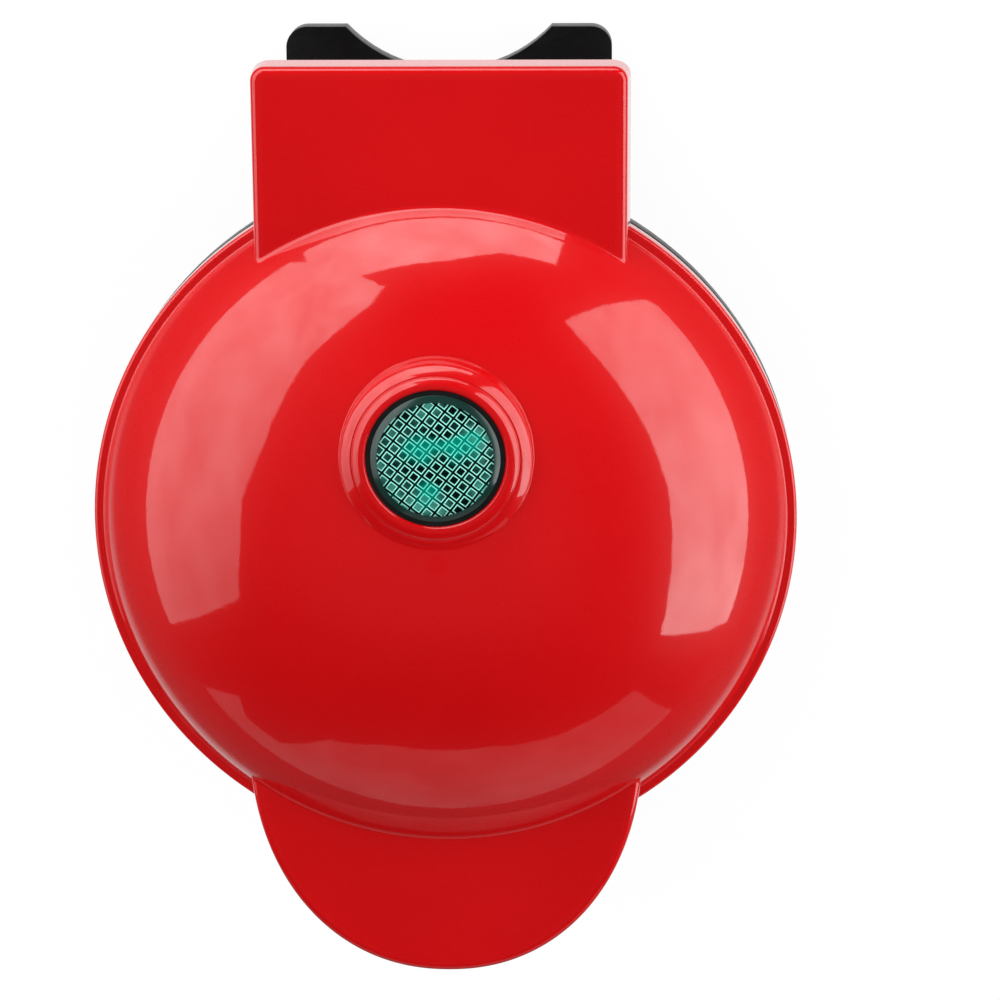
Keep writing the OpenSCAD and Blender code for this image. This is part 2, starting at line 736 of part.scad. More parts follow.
// From the sleeve's end: two wires to the heater's ends, one to the thermostat, one to the lamp
module lid_wiring() {
    side_gap = wire_r + touch;
    left_x = sleeve_x - side_gap;
    right_x = sleeve_x + side_gap;
    low_z = lid_sleeve_z - wire_r;
    high_z = low_z + 2 * side_gap;
    start_y = lid_sleeve_y - touch;
    heater_z = parting_h + heater_h;
    pin_y = heater_leg + 6 + touch + wire_r;
    side_y = plate_rim_r + 1.2;
    over_z = parting_h + shield_h + shield_t + wire_r + 0.5;
    control_z = parting_h + back_h + 7 + 2 * touch;
    lamp_z = lens_seat_z - lens_flange_t - holder_drop + holder_wall;
    color([0.75, 0.72, 0.68]) {
        wire([[left_x, start_y, high_z], [left_x, start_y - 1.2, high_z], [-20, side_y - 2.5, high_z + 4],
            [2 - heater_bend_r, pin_y + 5.5, heater_z - 0.7], [-heater_bend_r, pin_y, heater_z]], wire_r);
        wire([[right_x, start_y, high_z], [right_x, start_y - 1.2, high_z], [20, side_y - 2.5, high_z + 4],
            [heater_bend_r - 2, pin_y + 5.5, heater_z - 0.7], [heater_bend_r, pin_y, heater_z]], wire_r);
        wire([[right_x, start_y, low_z], [right_x, side_y, low_z], [right_x, side_y - 0.8, over_z - 9.6],
            [right_x, shield_r, over_z], [right_x, control_y + 5, over_z], [3.4, control_y, over_z],
            [3.4, control_y, control_z]], wire_r);
        wire([[left_x, start_y, low_z], [left_x, side_y, low_z], [left_x, side_y - 0.8, over_z - 9.6],
            [left_x, shield_r, over_z], [0, lens_y, over_z], [0, lens_y, lamp_z]], wire_r);
    }
}

// ---- Base ----

module bowl_points_extrude(r, drop, depth, top_z) {
    last = asin(pow(drop / depth, bowl_power / 2));
    points = rise_points(r, depth, bowl_power, last);
    rotate_extrude() polygon(concat(
        [for (p = points) [p[0], top_z - p[1]]],
        [[0, top_z - drop], [0, top_z]]
    ));
}

module base_outer() {
    bowl_points_extrude(bowl_r, bowl_drop, bowl_depth, band_z + 0.01);
    translate([0, 0, band_z]) cylinder(h = skirt_h, r = brim_r);
    translate([0, 0, foot_h]) linear_extrude(base_edge_z - foot_h)
        block_outline(base_block_half_w, base_block_reach);
    translate([0, 0, foot_h]) linear_extrude(ear_t)
        difference() {
            tongue(ear_half_w, 20, ear_reach, ear_corner_r);
            translate([0, ear_reach - 8.2 + notch_r]) circle(notch_r);
        }
    // A pad under each rear leg, just clear of the table
    for (side = [-1, 1]) {
        translate([side * (ear_half_w - 7), ear_reach - 5, 0.2]) cylinder(h = foot_h, r = 3.5, $fn = 48);
    }
    // Ribs that the opened lid comes to rest on
    for (side = [-1, 1]) {
        translate([side * (lug_in_x + 3.5) - stop_rib_w / 2, base_block_reach - 3, cord_z + 3])
            cube([stop_rib_w, 6, base_edge_z - cord_z - 3]);
    }
}

module base_void() {
    translate([0, 0, base_seat_z]) cylinder(h = parting_h - base_seat_z + 1, r = brim_r - base_wall);
    bowl_points_extrude(bowl_in_r, base_seat_z - floor_z, bowl_depth, base_seat_z + 0.01);
    translate([0, 0, floor_z]) linear_extrude(parting_h - floor_z + 1)
        block_outline(base_block_half_w - base_wall, base_block_top_y - base_wall);
    translate([0, 0, floor_z]) linear_extrude(hinge_z - knuckle_r - 7.4 - floor_z)
        block_outline(base_block_half_w - base_wall, base_block_reach - base_wall);
}

module base_bosses() {
    low_z = foot_h;
    translate([0, 0, low_z]) at(base_frame_points) cylinder(h = base_seat_z - low_z, r = boss_r, $fn = 32);
    translate([0, 0, low_z]) at(cover_screw_points) cylinder(h = floor_t + pedestal_boss_h, r = boss_r, $fn = 32);
    for (side = [-1, 1]) {
        translate([side * saddle_x, saddle_y, low_z]) cylinder(h = cord_z - low_z, r = boss_r, $fn = 32);
    }
}

// The room that the lid's hinge block swings through, down to where it rests
module lid_swing() {
    big = 40;
    translate([0, hinge_y, hinge_z]) rotate([-open_angle, 0, 0])
        translate([-big, -big - 6, -30]) cube([2 * big, big + 6 + hinge_inset + stop_gap, 60]);
}

module base_knuckles() {
    for (side = [-1, 1]) {
        x = side > 0 ? knuckle_in_x : -knuckle_out_x;
        hinge_cylinder(x, x + knuckle_w, knuckle_r);
        translate([x, base_block_top_y - base_wall + 0.3, hinge_z - knuckle_r + 0.8])
            cube([knuckle_w, hinge_y - base_block_top_y + base_wall - 0.3, knuckle_r - 0.8]);
    }
}

module lower_housing() {
    color([0.07, 0.07, 0.07])
        difference() {
            union() {
                difference() {
                    base_outer();
                    difference() {
                        base_void();
                        base_bosses();
                    }
                    // Behind the base block's top, only the room under the lid's resting place is filled
                    intersection() {
                        translate([-block_w, base_block_top_y, foot_h + ear_t]) cube([2 * block_w, 40, 60]);
                        lid_swing();
                    }
                }
                base_knuckles();
            }
            hinge_cylinder(-knuckle_out_x - 1, knuckle_out_x + 1, pin_r + touch / 2);
            translate([0, base_block_reach + 1, cord_z]) rotate([90, 0, 0])
                cylinder(h = base_wall + 2, r = gland_r + touch, $fn = 48);
            translate([0, 0, foot_h - 1]) cylinder(h = cover_t + 1, r = cover_r + fit);
            translate([0, 0, foot_h - 1]) cylinder(h = floor_t + 2, r = cover_lip_r);
            translate([0, 0, foot_h + cover_t]) at(cover_screw_points) screw_hole(screw_bite + 1);
            translate([0, 0, base_seat_z - screw_bite - 0.5]) at(base_frame_points) screw_hole(screw_bite + 1);
            for (side = [-1, 1]) {
                translate([side * saddle_x, saddle_y, cord_z - screw_bite]) screw_hole(screw_bite + 1);
            }
            translate([0, 0, foot_h - 0.01]) at(foot_points) cylinder(h = 1.2, r = foot_r - 1.5, $fn = 48);
        }
}

module lower_frame() {
    notch = sleeve_r + fit;
    color([0.07, 0.07, 0.07])
        in_base()
            difference() {
                frame(brim_r - base_wall - fit, base_block_half_w - base_wall - fit,
                    base_block_top_y - base_wall - fit, base_frame_points);
                translate([-sleeve_x, sleeve_back_y, 0]) cylinder(h = parting_h, r = notch, $fn = 32);
                translate([-sleeve_x - notch, sleeve_back_y, 0]) cube([2 * notch, 5, parting_h]);
            }
}

module lower_plate() {
    color([0.13, 0.13, 0.14]) in_base() waffle_plate();
}

module lower_heater() {
    color([0.45, 0.44, 0.42]) in_base() heater();
}

module lower_heater_clamp() {
    color([0.7, 0.71, 0.72]) in_base() heater_clamp();
}

module lower_heat_shield() {
    color([0.8, 0.81, 0.82]) in_base() heat_shield();
}

module lower_frame_screws() {
    color([0.55, 0.55, 0.56]) in_base() frame_screws(base_frame_points);
}

module lower_plate_screws() {
    color([0.55, 0.55, 0.56]) in_base() plate_screws();
}

module lower_shield_screws() {
    color([0.6, 0.6, 0.61]) in_base() shield_screws();
}

module base_cover() {
    color([0.07, 0.07, 0.07])
        translate([0, 0, foot_h]) difference() {
            union() {
                cylinder(h = cover_t, r = cover_r);
                cylinder(h = floor_t, r = cover_lip_r - fit);
            }
            at(cover_screw_points) csk_hole(cover_t);
        }
}

module cover_screws() {
    color([0.55, 0.55, 0.56])
        translate([0, 0, foot_h]) at(cover_screw_points) csk_screw(cover_t + screw_bite);
}

module rubber_feet() {
    color([0.04, 0.04, 0.04])
        at(foot_points) {
            cylinder(h = foot_h, r = foot_r, $fn = 48);
            translate([0, 0, foot_h - 0.5]) cylinder(h = 1.6, r = foot_r - 1.5 - touch, $fn = 48);
        }
}

module hinge_pins() {
    color([0.75, 0.76, 0.77])
        for (side = [-1, 1]) {
            pin_x = side > 0 ? knuckle_in_x + 1 : -lug_out_x - lug_gap;
            head_x = side > 0 ? lug_out_x + lug_gap : -lug_out_x - lug_gap - 1.2;
            hinge_cylinder(pin_x, pin_x + lug_out_x + lug_gap - knuckle_in_x - 1, pin_r);
            hinge_cylinder(head_x, head_x + 1.2, pin_r + 1.2);
        }
}

module thermal_fuse() {
    fuse_r = 2;
    color([0.8, 0.79, 0.76])
        in_base() translate([0, control_y, back_h + fuse_r + touch]) rotate([0, 90, 0]) {
            translate([0, 0, -6]) cylinder(h = 12, r = fuse_r, $fn = 32);
            translate([0, 0, -9]) cylinder(h = 18, r = 0.5, $fn = 24);
        }
}

module terminal_block() {
    color([0.86, 0.85, 0.8])
        translate([0, terminal_y - terminal_d, floor_z]) difference() {
            translate([-13, 0, 0]) cube([26, terminal_d, 9]);
            for (x = [-terminal_x, 0, terminal_x]) {
                translate([x, terminal_d / 2, 4]) cylinder(h = 6, r = 1.8, $fn = 32);
                translate([x, -1, 3]) rotate([-90, 0, 0]) cylinder(h = terminal_d + 2, r = 0.7, $fn = 32);
            }
        }
}

module cord_gland() {
    out_y = base_block_reach + gland_flange_t;
    color([0.05, 0.05, 0.05])
        translate([0, out_y, cord_z]) rotate([90, 0, 0]) difference() {
            union() {
                cylinder(h = gland_l, r = gland_r, $fn = 48);
                cylinder(h = gland_flange_t, r = gland_flange_r, $fn = 48);
                translate([0, 0, gland_flange_t + base_wall])
                    cylinder(h = gland_l - gland_flange_t - base_wall, r = gland_flange_r, $fn = 48);
            }
            translate([0, 0, -1]) cylinder(h = gland_l + 2, r = cord_bore_r, $fn = 48);
        }
}

module cord_clamp() {
    color([0.1, 0.1, 0.1])
        translate([0, saddle_y, cord_z]) difference() {
            translate([-saddle_x - 3, -3, 0]) cube([2 * saddle_x + 6, 6, clamp_bar_h]);
            rotate([90, 0, 0]) cylinder(h = 8, r = cord_bore_r, center = true, $fn = 48);
            for (side = [-1, 1]) {
                translate([side * saddle_x, 0, -1]) cylinder(h = clamp_bar_h + 2, r = screw_r + fit / 2, $fn = 32);
            }
        }
}

module clamp_screws() {
    color([0.6, 0.6, 0.61])
        for (side = [-1, 1]) {
            translate([side * saddle_x, saddle_y, cord_z + clamp_bar_h]) pan_screw(clamp_bar_h + screw_bite - 1);
        }
}

module base_sleeve() {
    color([0.88, 0.87, 0.82])
        bent_sleeve([
            [-sleeve_x, sleeve_back_y, base_sleeve_z], [-sleeve_x, sleeve_back_y, hinge_z],
            [-sleeve_x, hinge_y, hinge_z], [-0.2, hinge_y, hinge_z]
        ], sleeve_r);
}

// From the terminal block: two wires to the heater's ends, two up to the hinge sleeve
module base_wiring() {
    side_gap = wire_r + touch;
    block_z = floor_z + 3;
    front_y = terminal_y - terminal_d - touch - 0.6;
    back_y = terminal_y + touch + 0.6;
    heater_z = parting_h - heater_h;
    pin_y = heater_leg + 6 + touch + wire_r;
    end_z = base_sleeve_z - touch;
    right_x = side_gap - sleeve_x;
    left_x = -side_gap - sleeve_x;
    color([0.75, 0.72, 0.68]) {
        for (side = [-1, 1]) {
            wire([[side * terminal_x, front_y, block_z], [side * (terminal_x + 4), front_y - 4, block_z],
                [side * heater_bend_r, pin_y + 1, heater_z - 7], [side * heater_bend_r, pin_y, heater_z]], wire_r);
        }
        wire([[terminal_x, back_y, block_z], [right_x, sleeve_back_y, block_z + 2],
            [right_x, sleeve_back_y, end_z]], wire_r);
        wire([[-terminal_x, back_y, block_z], [-terminal_x - 4, back_y + 3.5, block_z],
            [left_x - 4, sleeve_back_y - 1, block_z], [left_x, sleeve_back_y, block_z + 4],
            [left_x, sleeve_back_y, end_z]], wire_r);
    }
}

upper_housing();
upper_frame();
upper_plate();
upper_heater();
upper_heater_clamp();
upper_heat_shield();
upper_frame_screws();
upper_plate_screws();
upper_shield_screws();
indicator_lens();
lens_seal();
lamp_holder();
lamp_screws();
neon_lamp();
thermostat();
lid_wiring();
lid_sleeve();
lower_housing();
lower_frame();
lower_plate();
lower_heater();
lower_heater_clamp();
lower_heat_shield();
lower_frame_screws();
lower_plate_screws();
lower_shield_screws();
base_cover();
cover_screws();
rubber_feet();
hinge_pins();
thermal_fuse();
terminal_block();
cord_gland();
cord_clamp();
clamp_screws();
base_wiring();
base_sleeve();
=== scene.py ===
"""A small round waffle maker, red above and black below: its looks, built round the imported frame."""

import math
import bmesh
import bpy
import numpy as np
from mathutils import Matrix, Vector


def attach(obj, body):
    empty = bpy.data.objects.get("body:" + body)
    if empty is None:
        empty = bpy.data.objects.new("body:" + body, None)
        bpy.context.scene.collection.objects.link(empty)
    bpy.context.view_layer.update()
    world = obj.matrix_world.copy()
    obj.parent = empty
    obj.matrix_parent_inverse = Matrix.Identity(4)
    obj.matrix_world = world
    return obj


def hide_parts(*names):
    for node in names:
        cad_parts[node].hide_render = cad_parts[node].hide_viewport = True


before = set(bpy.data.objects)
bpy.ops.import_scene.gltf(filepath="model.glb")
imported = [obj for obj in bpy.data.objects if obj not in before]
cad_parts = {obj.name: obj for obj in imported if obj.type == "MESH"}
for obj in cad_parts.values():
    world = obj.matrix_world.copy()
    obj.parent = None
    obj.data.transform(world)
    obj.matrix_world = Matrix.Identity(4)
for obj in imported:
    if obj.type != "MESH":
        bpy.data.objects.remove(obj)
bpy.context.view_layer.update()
MM = 0.001

# ---- Sizes in millimetres ----

# Points of one surface that are closer than this become one
JOIN = 0.004

# The lid: lower edge, ledge, slab tops, and the dome as part of an upright oval
BRIM_R = 63.5
LID_EDGE_Z = 37.4
LEDGE_Z = 41.6
SLAB_Z = 47.1
FOOT_R = 61.6
DOME_H = 28.0
DOME_SINK = 14.8
DOME_POWER = 2.2
DOME_FULL_H = DOME_H + DOME_SINK
DOME_FULL_R = FOOT_R / (1 - (DOME_SINK / DOME_FULL_H) ** DOME_POWER) ** (1 / DOME_POWER)
DOME_MID_Z = LEDGE_Z - DOME_SINK
LID_WALL = 2.0

# The raised ring round the lens: bore, rounded lip, flat, and the mound it stands on
LENS_Y = 19.3
RING_Z = 70.8
BORE_R = 12.0
LIP_W = 0.36
LIP_END = 0.6
LIP_LOW_Z = 68.6
LIP_ROUND = 0.2
RING_FLAT_R = 13.1
MOUND_R = 18.1
# The ring's slope in degrees at each distance from the lens's middle
RING_TILT = ((RING_FLAT_R - 0.1, 0), (RING_FLAT_R + 0.1, 24), (14.2, 35), (14.7, 27), (16.2, 41),
             (16.45, 62), (16.6, 80), (16.7, 86), (24, 86))
RING_LEAN = 0.12
RING_SHIFT = 0.5
SHOULDER_W = 3.4
GROOVE_R = 14.42
GROOVE_W = 0.15
GROOVE_DEPTH = 0.14

# Rows of points over the ring: from, to and step
RING_ROWS = ((12.7, 13.2, 0.4), (13.25, 14.0, 0.15), (14.0, 14.95, 0.07), (15.0, 16.3, 0.13),
             (16.35, 18.7, 0.09), (18.8, 22.1, 0.35))
RING_STEPS = 1200
RING_BLEND = 0.25
# The circles slide from the lens's middle to the lid's between these radii
SLIDE_START = 22.0
SLIDE_END = 50.0
SLIDE_GAP = 0.6
SLIDE_ROWS = 30
# The dome's profile beyond them: its points, the last ones that the foot takes, and its rows
PROFILE_POINTS = 900
PROFILE_CUT = 30
PROFILE_ROWS = 30
# Columns of points: on the dome over a slab and between the slabs; across the block, round the handle, and
# over a rounded edge
SLAB_COLS = 60
SIDE_COLS = 96
BLOCK_COLS = 81
HANDLE_COLS = 181
ROUND_COLS = 9

# The lens: side, seat, wall, inner skirt and flange, the cap's edge and sag, and the pattern's cells
LENS_R = 11.2
LENS_EDGE_Z = 70.6
LENS_SEAT_Z = 66.7
LENS_T = 1.5
LENS_TOP_Z = LENS_EDGE_Z + 0.9
LENS_SKIRT_R = 9.7
LENS_FLANGE_R = 13.8
CAP_R = 10.0
CAP_SAG = 0.33
CELLS_R = 11.1
CELL_SIZE = 1.9
CELL_TURN = 38

# The two slabs: hinge block and handle, with their rounds, the block's draft, and how they join the dome
BLOCK_HALF_W = 32.75
BLOCK_BACK_Y = 83.0
BLOCK_CORNER_R = 2.5
HANDLE_HALF_W = 36.0
HANDLE_MID_Y = -40.0
HANDLE_TIP_Y = -85.0
HANDLE_POWER = 2.15
EDGE_R = 1.4
BOTTOM_R = 0.4
WALL_ROWS_Z = (44.5, 43.0, LEDGE_Z, 40.0, 38.4)
BLOCK_DRAFT = 0.55
SEAM_DROP = 0.9
BLEND = 0.65
SUNK = 0.08
SLAB_ROOT_R = 56.8
BRIM_START_R = 62.6
# The distance from the lid's middle at which a slab's rows begin, at four heights
START_R = (BRIM_START_R, 60.7, 58.2, SLAB_ROOT_R)

# How far the inner faces' outer points are drawn in, and those of the ledge and the lower edge; the share by
# which the bore's are widened and the mound's narrowed
DRAWN_IN = 0.9
DRAWN_UP = 0.6
BORE_WIDER = 1.05
MOUND_NARROWER = 0.12

# ---- Meshes from whole arrays ----

def grid_faces(rows, cols):
    """Quads of a rows x cols grid of points, numbered row by row: each joins a point, its right neighbour,
    and the two above."""
    i = np.arange(rows - 1)[:, None] * cols + np.arange(cols - 1)[None, :]
    return np.stack([i, i + 1, i + cols + 1, i + cols], axis=-1)


def make_piece(name, parts, material, body, smooth):
    """One object from parts of (points in mm, quads): points within JOIN mm are joined, quads without area
    vanish, and edges sharper than smooth degrees stay sharp."""
    points, faces, count = [], [], 0
    for p, f in parts:
        points.append(p.reshape(-1, 3))
        faces.append(f.reshape(-1, 4) + count)
        count += points[-1].shape[0]
    mesh = bpy.data.meshes.new(name)
    mesh.from_pydata((np.concatenate(points) * MM).tolist(), [], np.concatenate(faces).tolist())
    return finish_piece(name, mesh, material, body, JOIN, smooth)


def finish_piece(name, mesh, material, body, merge, smooth):
    """Joins points within merge mm, shades by angle, and puts the piece on its body with its material and
    slot."""
    if merge:
        work = bmesh.new()
        work.from_mesh(mesh)
        bmesh.ops.remove_doubles(work, verts=work.verts, dist=merge * MM)
        bmesh.ops.dissolve_degenerate(work, edges=work.edges, dist=merge * MM / 4)
        work.to_mesh(mesh)
        work.free()
    mesh.validate()
    mesh.shade_smooth()
    mesh.set_sharp_from_angle(angle=math.radians(smooth))
    piece = bpy.data.objects.new(name, mesh)
    bpy.context.scene.collection.objects.link(piece)
    mesh.materials.clear()
    mesh.materials.append(material)
    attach(piece, body)
    return piece


def rounded(corners, radii, steps=6):
    """A profile through (r, z) corners, with an arc of the given radius, in so many steps, in place of each
    inner corner."""
    p = np.array(corners, float)
    out = [p[:1]]
    for i in range(1, len(p) - 1):
        if radii[i - 1] <= 0:
            out.append(p[i:i + 1])
            continue
        a = (p[i - 1] - p[i]) / np.linalg.norm(p[i - 1] - p[i])
        b = (p[i + 1] - p[i]) / np.linalg.norm(p[i + 1] - p[i])
        half = math.acos(np.clip(a @ b, -1, 1)) / 2
        mid = (a + b) / np.linalg.norm(a + b)
        centre = p[i] + mid * radii[i - 1] / math.sin(half)
        first = p[i] + a * radii[i - 1] / math.tan(half) - centre
        last = p[i] + b * radii[i - 1] / math.tan(half) - centre
        turn = math.atan2(first[0] * last[1] - first[1] * last[0], first @ last)
        t = np.linspace(0, turn, steps + 1)[:, None]
        out.append(centre + np.cos(t) * first + np.sin(t) * np.array([-first[1], first[0]]))
    out.append(p[-1:])
    return np.concatenate(out)


def lathe(profile, centre_y, count):
    """A turned shape: each (r, z) point of the profile goes round the upright axis at y = centre_y, in count
    steps."""
    t = np.linspace(0, 2 * np.pi, count + 1)
    r, z = profile[:, :1], profile[:, 1:]
    points = np.stack([r * np.cos(t), centre_y + r * np.sin(t), z + 0 * t], axis=-1)
    return points, grid_faces(len(profile), count + 1)


# ---- The lid's outer surface ----

def soft_max(a, b, k):
    """The larger of a and b, with a curve of depth k / 4 where they are less than k apart."""
    h = np.maximum(k - np.abs(a - b), 0) / k
    return np.maximum(a, b) + h * h * k / 4


def dome_z(r):
    """Height of the dome: an upright oval of power DOME_POWER, centred DOME_SINK under the ledge."""
    inside = np.maximum(1 - (np.abs(r) / DOME_FULL_R) ** DOME_POWER, 0)
    return DOME_MID_Z + DOME_FULL_H * inside ** (1 / DOME_POWER)


def dome_r(z):
    """Radius of the dome at height z, from the same oval."""
    return DOME_FULL_R * (1 - ((z - DOME_MID_Z) / DOME_FULL_H) ** DOME_POWER) ** (1 / DOME_POWER)


def crown_z(x, y):
    """The dome joined to the lens ring: a level lip, then RING_TILT's slopes summed outwards. The shoulder
    leans back with the dome by RING_LEAN per mm at the rear, and as much less at the front, is RING_SHIFT
    narrower at the rear and as much wider at the front, and has a fine groove round it."""
    u = np.hypot(x, y - LENS_Y)
    at, tilt = np.array(RING_TILT).T
    steps = np.linspace(at[0], at[-1], RING_STEPS)
    slope = np.tan(np.radians(np.interp(steps, at, tilt)))
    drop = np.concatenate([[0], np.cumsum((slope[1:] + slope[:-1]) / 2 * np.diff(steps))])
    rearward = (y - LENS_Y) / np.maximum(u, 1)
    out = np.clip(u - RING_FLAT_R, 0, SHOULDER_W)
    shifted = u + RING_SHIFT * rearward * out / SHOULDER_W
    ring = RING_Z - np.interp(shifted, steps, drop) - RING_LEAN * rearward * out
    groove = GROOVE_DEPTH * np.exp(-((shifted - GROOVE_R) / GROOVE_W) ** 2)
    return soft_max(dome_z(np.hypot(x, y)), ring, RING_BLEND) - groove


def block_x_end(r):
    """Angle from the rear at which radius r lies in the middle of the hinge block's side wall."""
    return np.arcsin(np.minimum((BLOCK_HALF_W - LID_WALL / 2) / r, 1))


def handle_curve(inset, t):
    """The handle's oval of power HANDLE_POWER with its edge moved in by inset, at angle t from the right
    side to the left."""
    a, b = HANDLE_HALF_W - inset, HANDLE_MID_Y - HANDLE_TIP_Y - inset
    c, s = np.cos(t), np.sin(t)
    x = np.sign(c) * a * np.abs(c) ** (2 / HANDLE_POWER)
    return x, HANDLE_MID_Y - b * np.abs(s) ** (2 / HANDLE_POWER)


def handle_start(inset, r):
    """Angle t at which the handle's oval, moved in by inset, lies at radius r from the lid's middle."""
    t = np.linspace(0.001, 1.2, 400)
    x, y = handle_curve(inset, t)
    return np.interp(r, np.hypot(x, y), t)


def handle_x_end(r):
    """Angle from the front at which radius r lies in the middle of the handle's wall."""
    x, y = handle_curve(LID_WALL / 2, handle_start(LID_WALL / 2, r))
    return np.arctan2(x, -y)


def lid_crown():
    """The dome with its ring, ledge and brim: circles that start round the lens and slide to the lid's
    middle, then the profile's points turned about it. Below the slabs' tops only the two sides between the
    slabs are kept."""
    lip = rounded([(BORE_R, LIP_LOW_Z), (BORE_R, RING_Z - LIP_W), (BORE_R + LIP_W, RING_Z),
                   (BORE_R + LIP_END, RING_Z)], [LIP_ROUND, LIP_ROUND], 4)
    bore = np.concatenate([[(BORE_R, LENS_SEAT_Z)], lip])
    ring_r = np.concatenate([np.arange(*row) for row in RING_ROWS])
    slide = np.linspace(SLIDE_START + SLIDE_GAP, SLIDE_END, SLIDE_ROWS)
    centre = LENS_Y * (1 - np.clip((slide - SLIDE_START) / (SLIDE_END - SLIDE_START), 0, 1))
    fine = np.linspace(SLIDE_END, FOOT_R, PROFILE_POINTS)
    path = np.stack([fine, dome_z(fine)], axis=1)
    foot = rounded([path[-PROFILE_CUT], (FOOT_R, LEDGE_Z), (BRIM_R, LEDGE_Z), (BRIM_R, LID_EDGE_Z),
                    (BRIM_R - LID_WALL, LID_EDGE_Z)], [0.6, 0.8, 0.4])
    path = path[:-PROFILE_CUT]
    length = np.concatenate([[0], np.cumsum(np.hypot(*np.diff(path, axis=0).T))])
    walk = np.linspace(0, length[-1], PROFILE_ROWS)[1:-1]
    upper = np.stack([np.interp(walk, length, column) for column in path.T], axis=1)
    seam_z = SLAB_Z - SEAM_DROP
    seam_r = dome_r(seam_z)
    upper = np.concatenate([upper, [[seam_r, seam_z]]])
    upper = upper[np.argsort(-upper[:, 1])]
    low = np.concatenate([upper, foot])

    worked_out = np.full(len(ring_r) + len(slide), np.nan)
    row_r = np.concatenate([bore[:, 0], ring_r, slide, low[:, 0]])
    row_c = np.concatenate([np.full(len(bore) + len(ring_r), LENS_Y), centre, np.zeros(len(low))])
    row_z = np.concatenate([bore[:, 1], worked_out, low[:, 1]])
    under = np.where(np.isnan(row_z), False, (row_z < seam_z + 0.001) & (row_c == 0))
    limit_r = np.where(under, np.maximum(row_r, seam_r), seam_r)
    rear, front = block_x_end(limit_r), handle_x_end(limit_r)
    cuts = [(-rear, rear, SLAB_COLS), (rear, np.pi - front, SIDE_COLS),
            (np.pi - front, np.pi + front, SLAB_COLS), (np.pi + front, 2 * np.pi - rear, SIDE_COLS)]
    turns = [a[:, None] + (b - a)[:, None] * np.arange(n)[None, :] / n for a, b, n in cuts]
    turn = np.concatenate(turns + [(2 * np.pi - rear)[:, None]], axis=1)
    x = row_r[:, None] * np.sin(turn)
    y = row_c[:, None] + row_r[:, None] * np.cos(turn)
    z = np.where(np.isnan(row_z)[:, None], crown_z(x, y), np.nan_to_num(row_z)[:, None])
    points = np.stack([x, y, z], axis=-1)
    faces = grid_faces(*turn.shape)[:, :, ::-1]
    in_slab = np.arange(turn.shape[1] - 1) % (SLAB_COLS + SIDE_COLS) < SLAB_COLS
    keep = ~(under[:-1, None] & in_slab[None, :])
    return points, faces[keep]


def slab_heights(x, y, z):
    """A slab's surface joined softly to the dome, and a little under it where the dome is higher."""
    d = dome_z(np.hypot(x, y))
    over = np.clip((d - z - BLEND * 0.6) / BLEND, 0, 1)
    return soft_max(z, d, BLEND) - SUNK * over


def spread(length, near_rows=18, far_rows=10, near=2.9):
    """Steps from the dome outwards: even ones over the first near mm, then wider ones up to length."""
    near = np.minimum(near, 0.8 * length)[..., None]
    a = near * np.linspace(0, 1, near_rows + 1)
    b = near + (length[..., None] - near) * np.linspace(0, 1, far_rows + 1)[1:] ** 1.3
    return np.concatenate([a, b], axis=-1)


def edge_rows(draft):
    """(inset, height, start radius) rows over a slab's edge: flat, a quarter round of radius EDGE_R, a wall
    that leans out by draft, and a small round at the bottom that turns in under the wall."""
    wall_top, wall_foot = SLAB_Z - EDGE_R, LID_EDGE_Z + BOTTOM_R
    rows = [(BLOCK_CORNER_R, SLAB_Z), (2.0, SLAB_Z)]
    rows += [(EDGE_R * (1 - math.sin(t)), SLAB_Z - EDGE_R * (1 - math.cos(t)))
             for t in np.radians(np.linspace(0, 90, ROUND_COLS))]
    rows += [(-draft * (wall_top - z) / (wall_top - wall_foot), z)
             for z in (*WALL_ROWS_Z, wall_foot)]
    rows += [(-draft + BOTTOM_R * (1 - math.cos(t)), LID_EDGE_Z + BOTTOM_R * (1 - math.sin(t)))
             for t in np.radians([30, 60, 90])]
    rows += [(LID_WALL, LID_EDGE_Z)]
    inset, z = np.array(rows).T
    start = np.interp(z, [LID_EDGE_Z, LEDGE_Z, wall_top, SLAB_Z - 0.4], START_R)
    turned_in = inset > EDGE_R - 0.01
    start[turned_in] = np.where(z[turned_in] > LEDGE_Z, SLAB_ROOT_R, BRIM_START_R)
    return inset, z, start


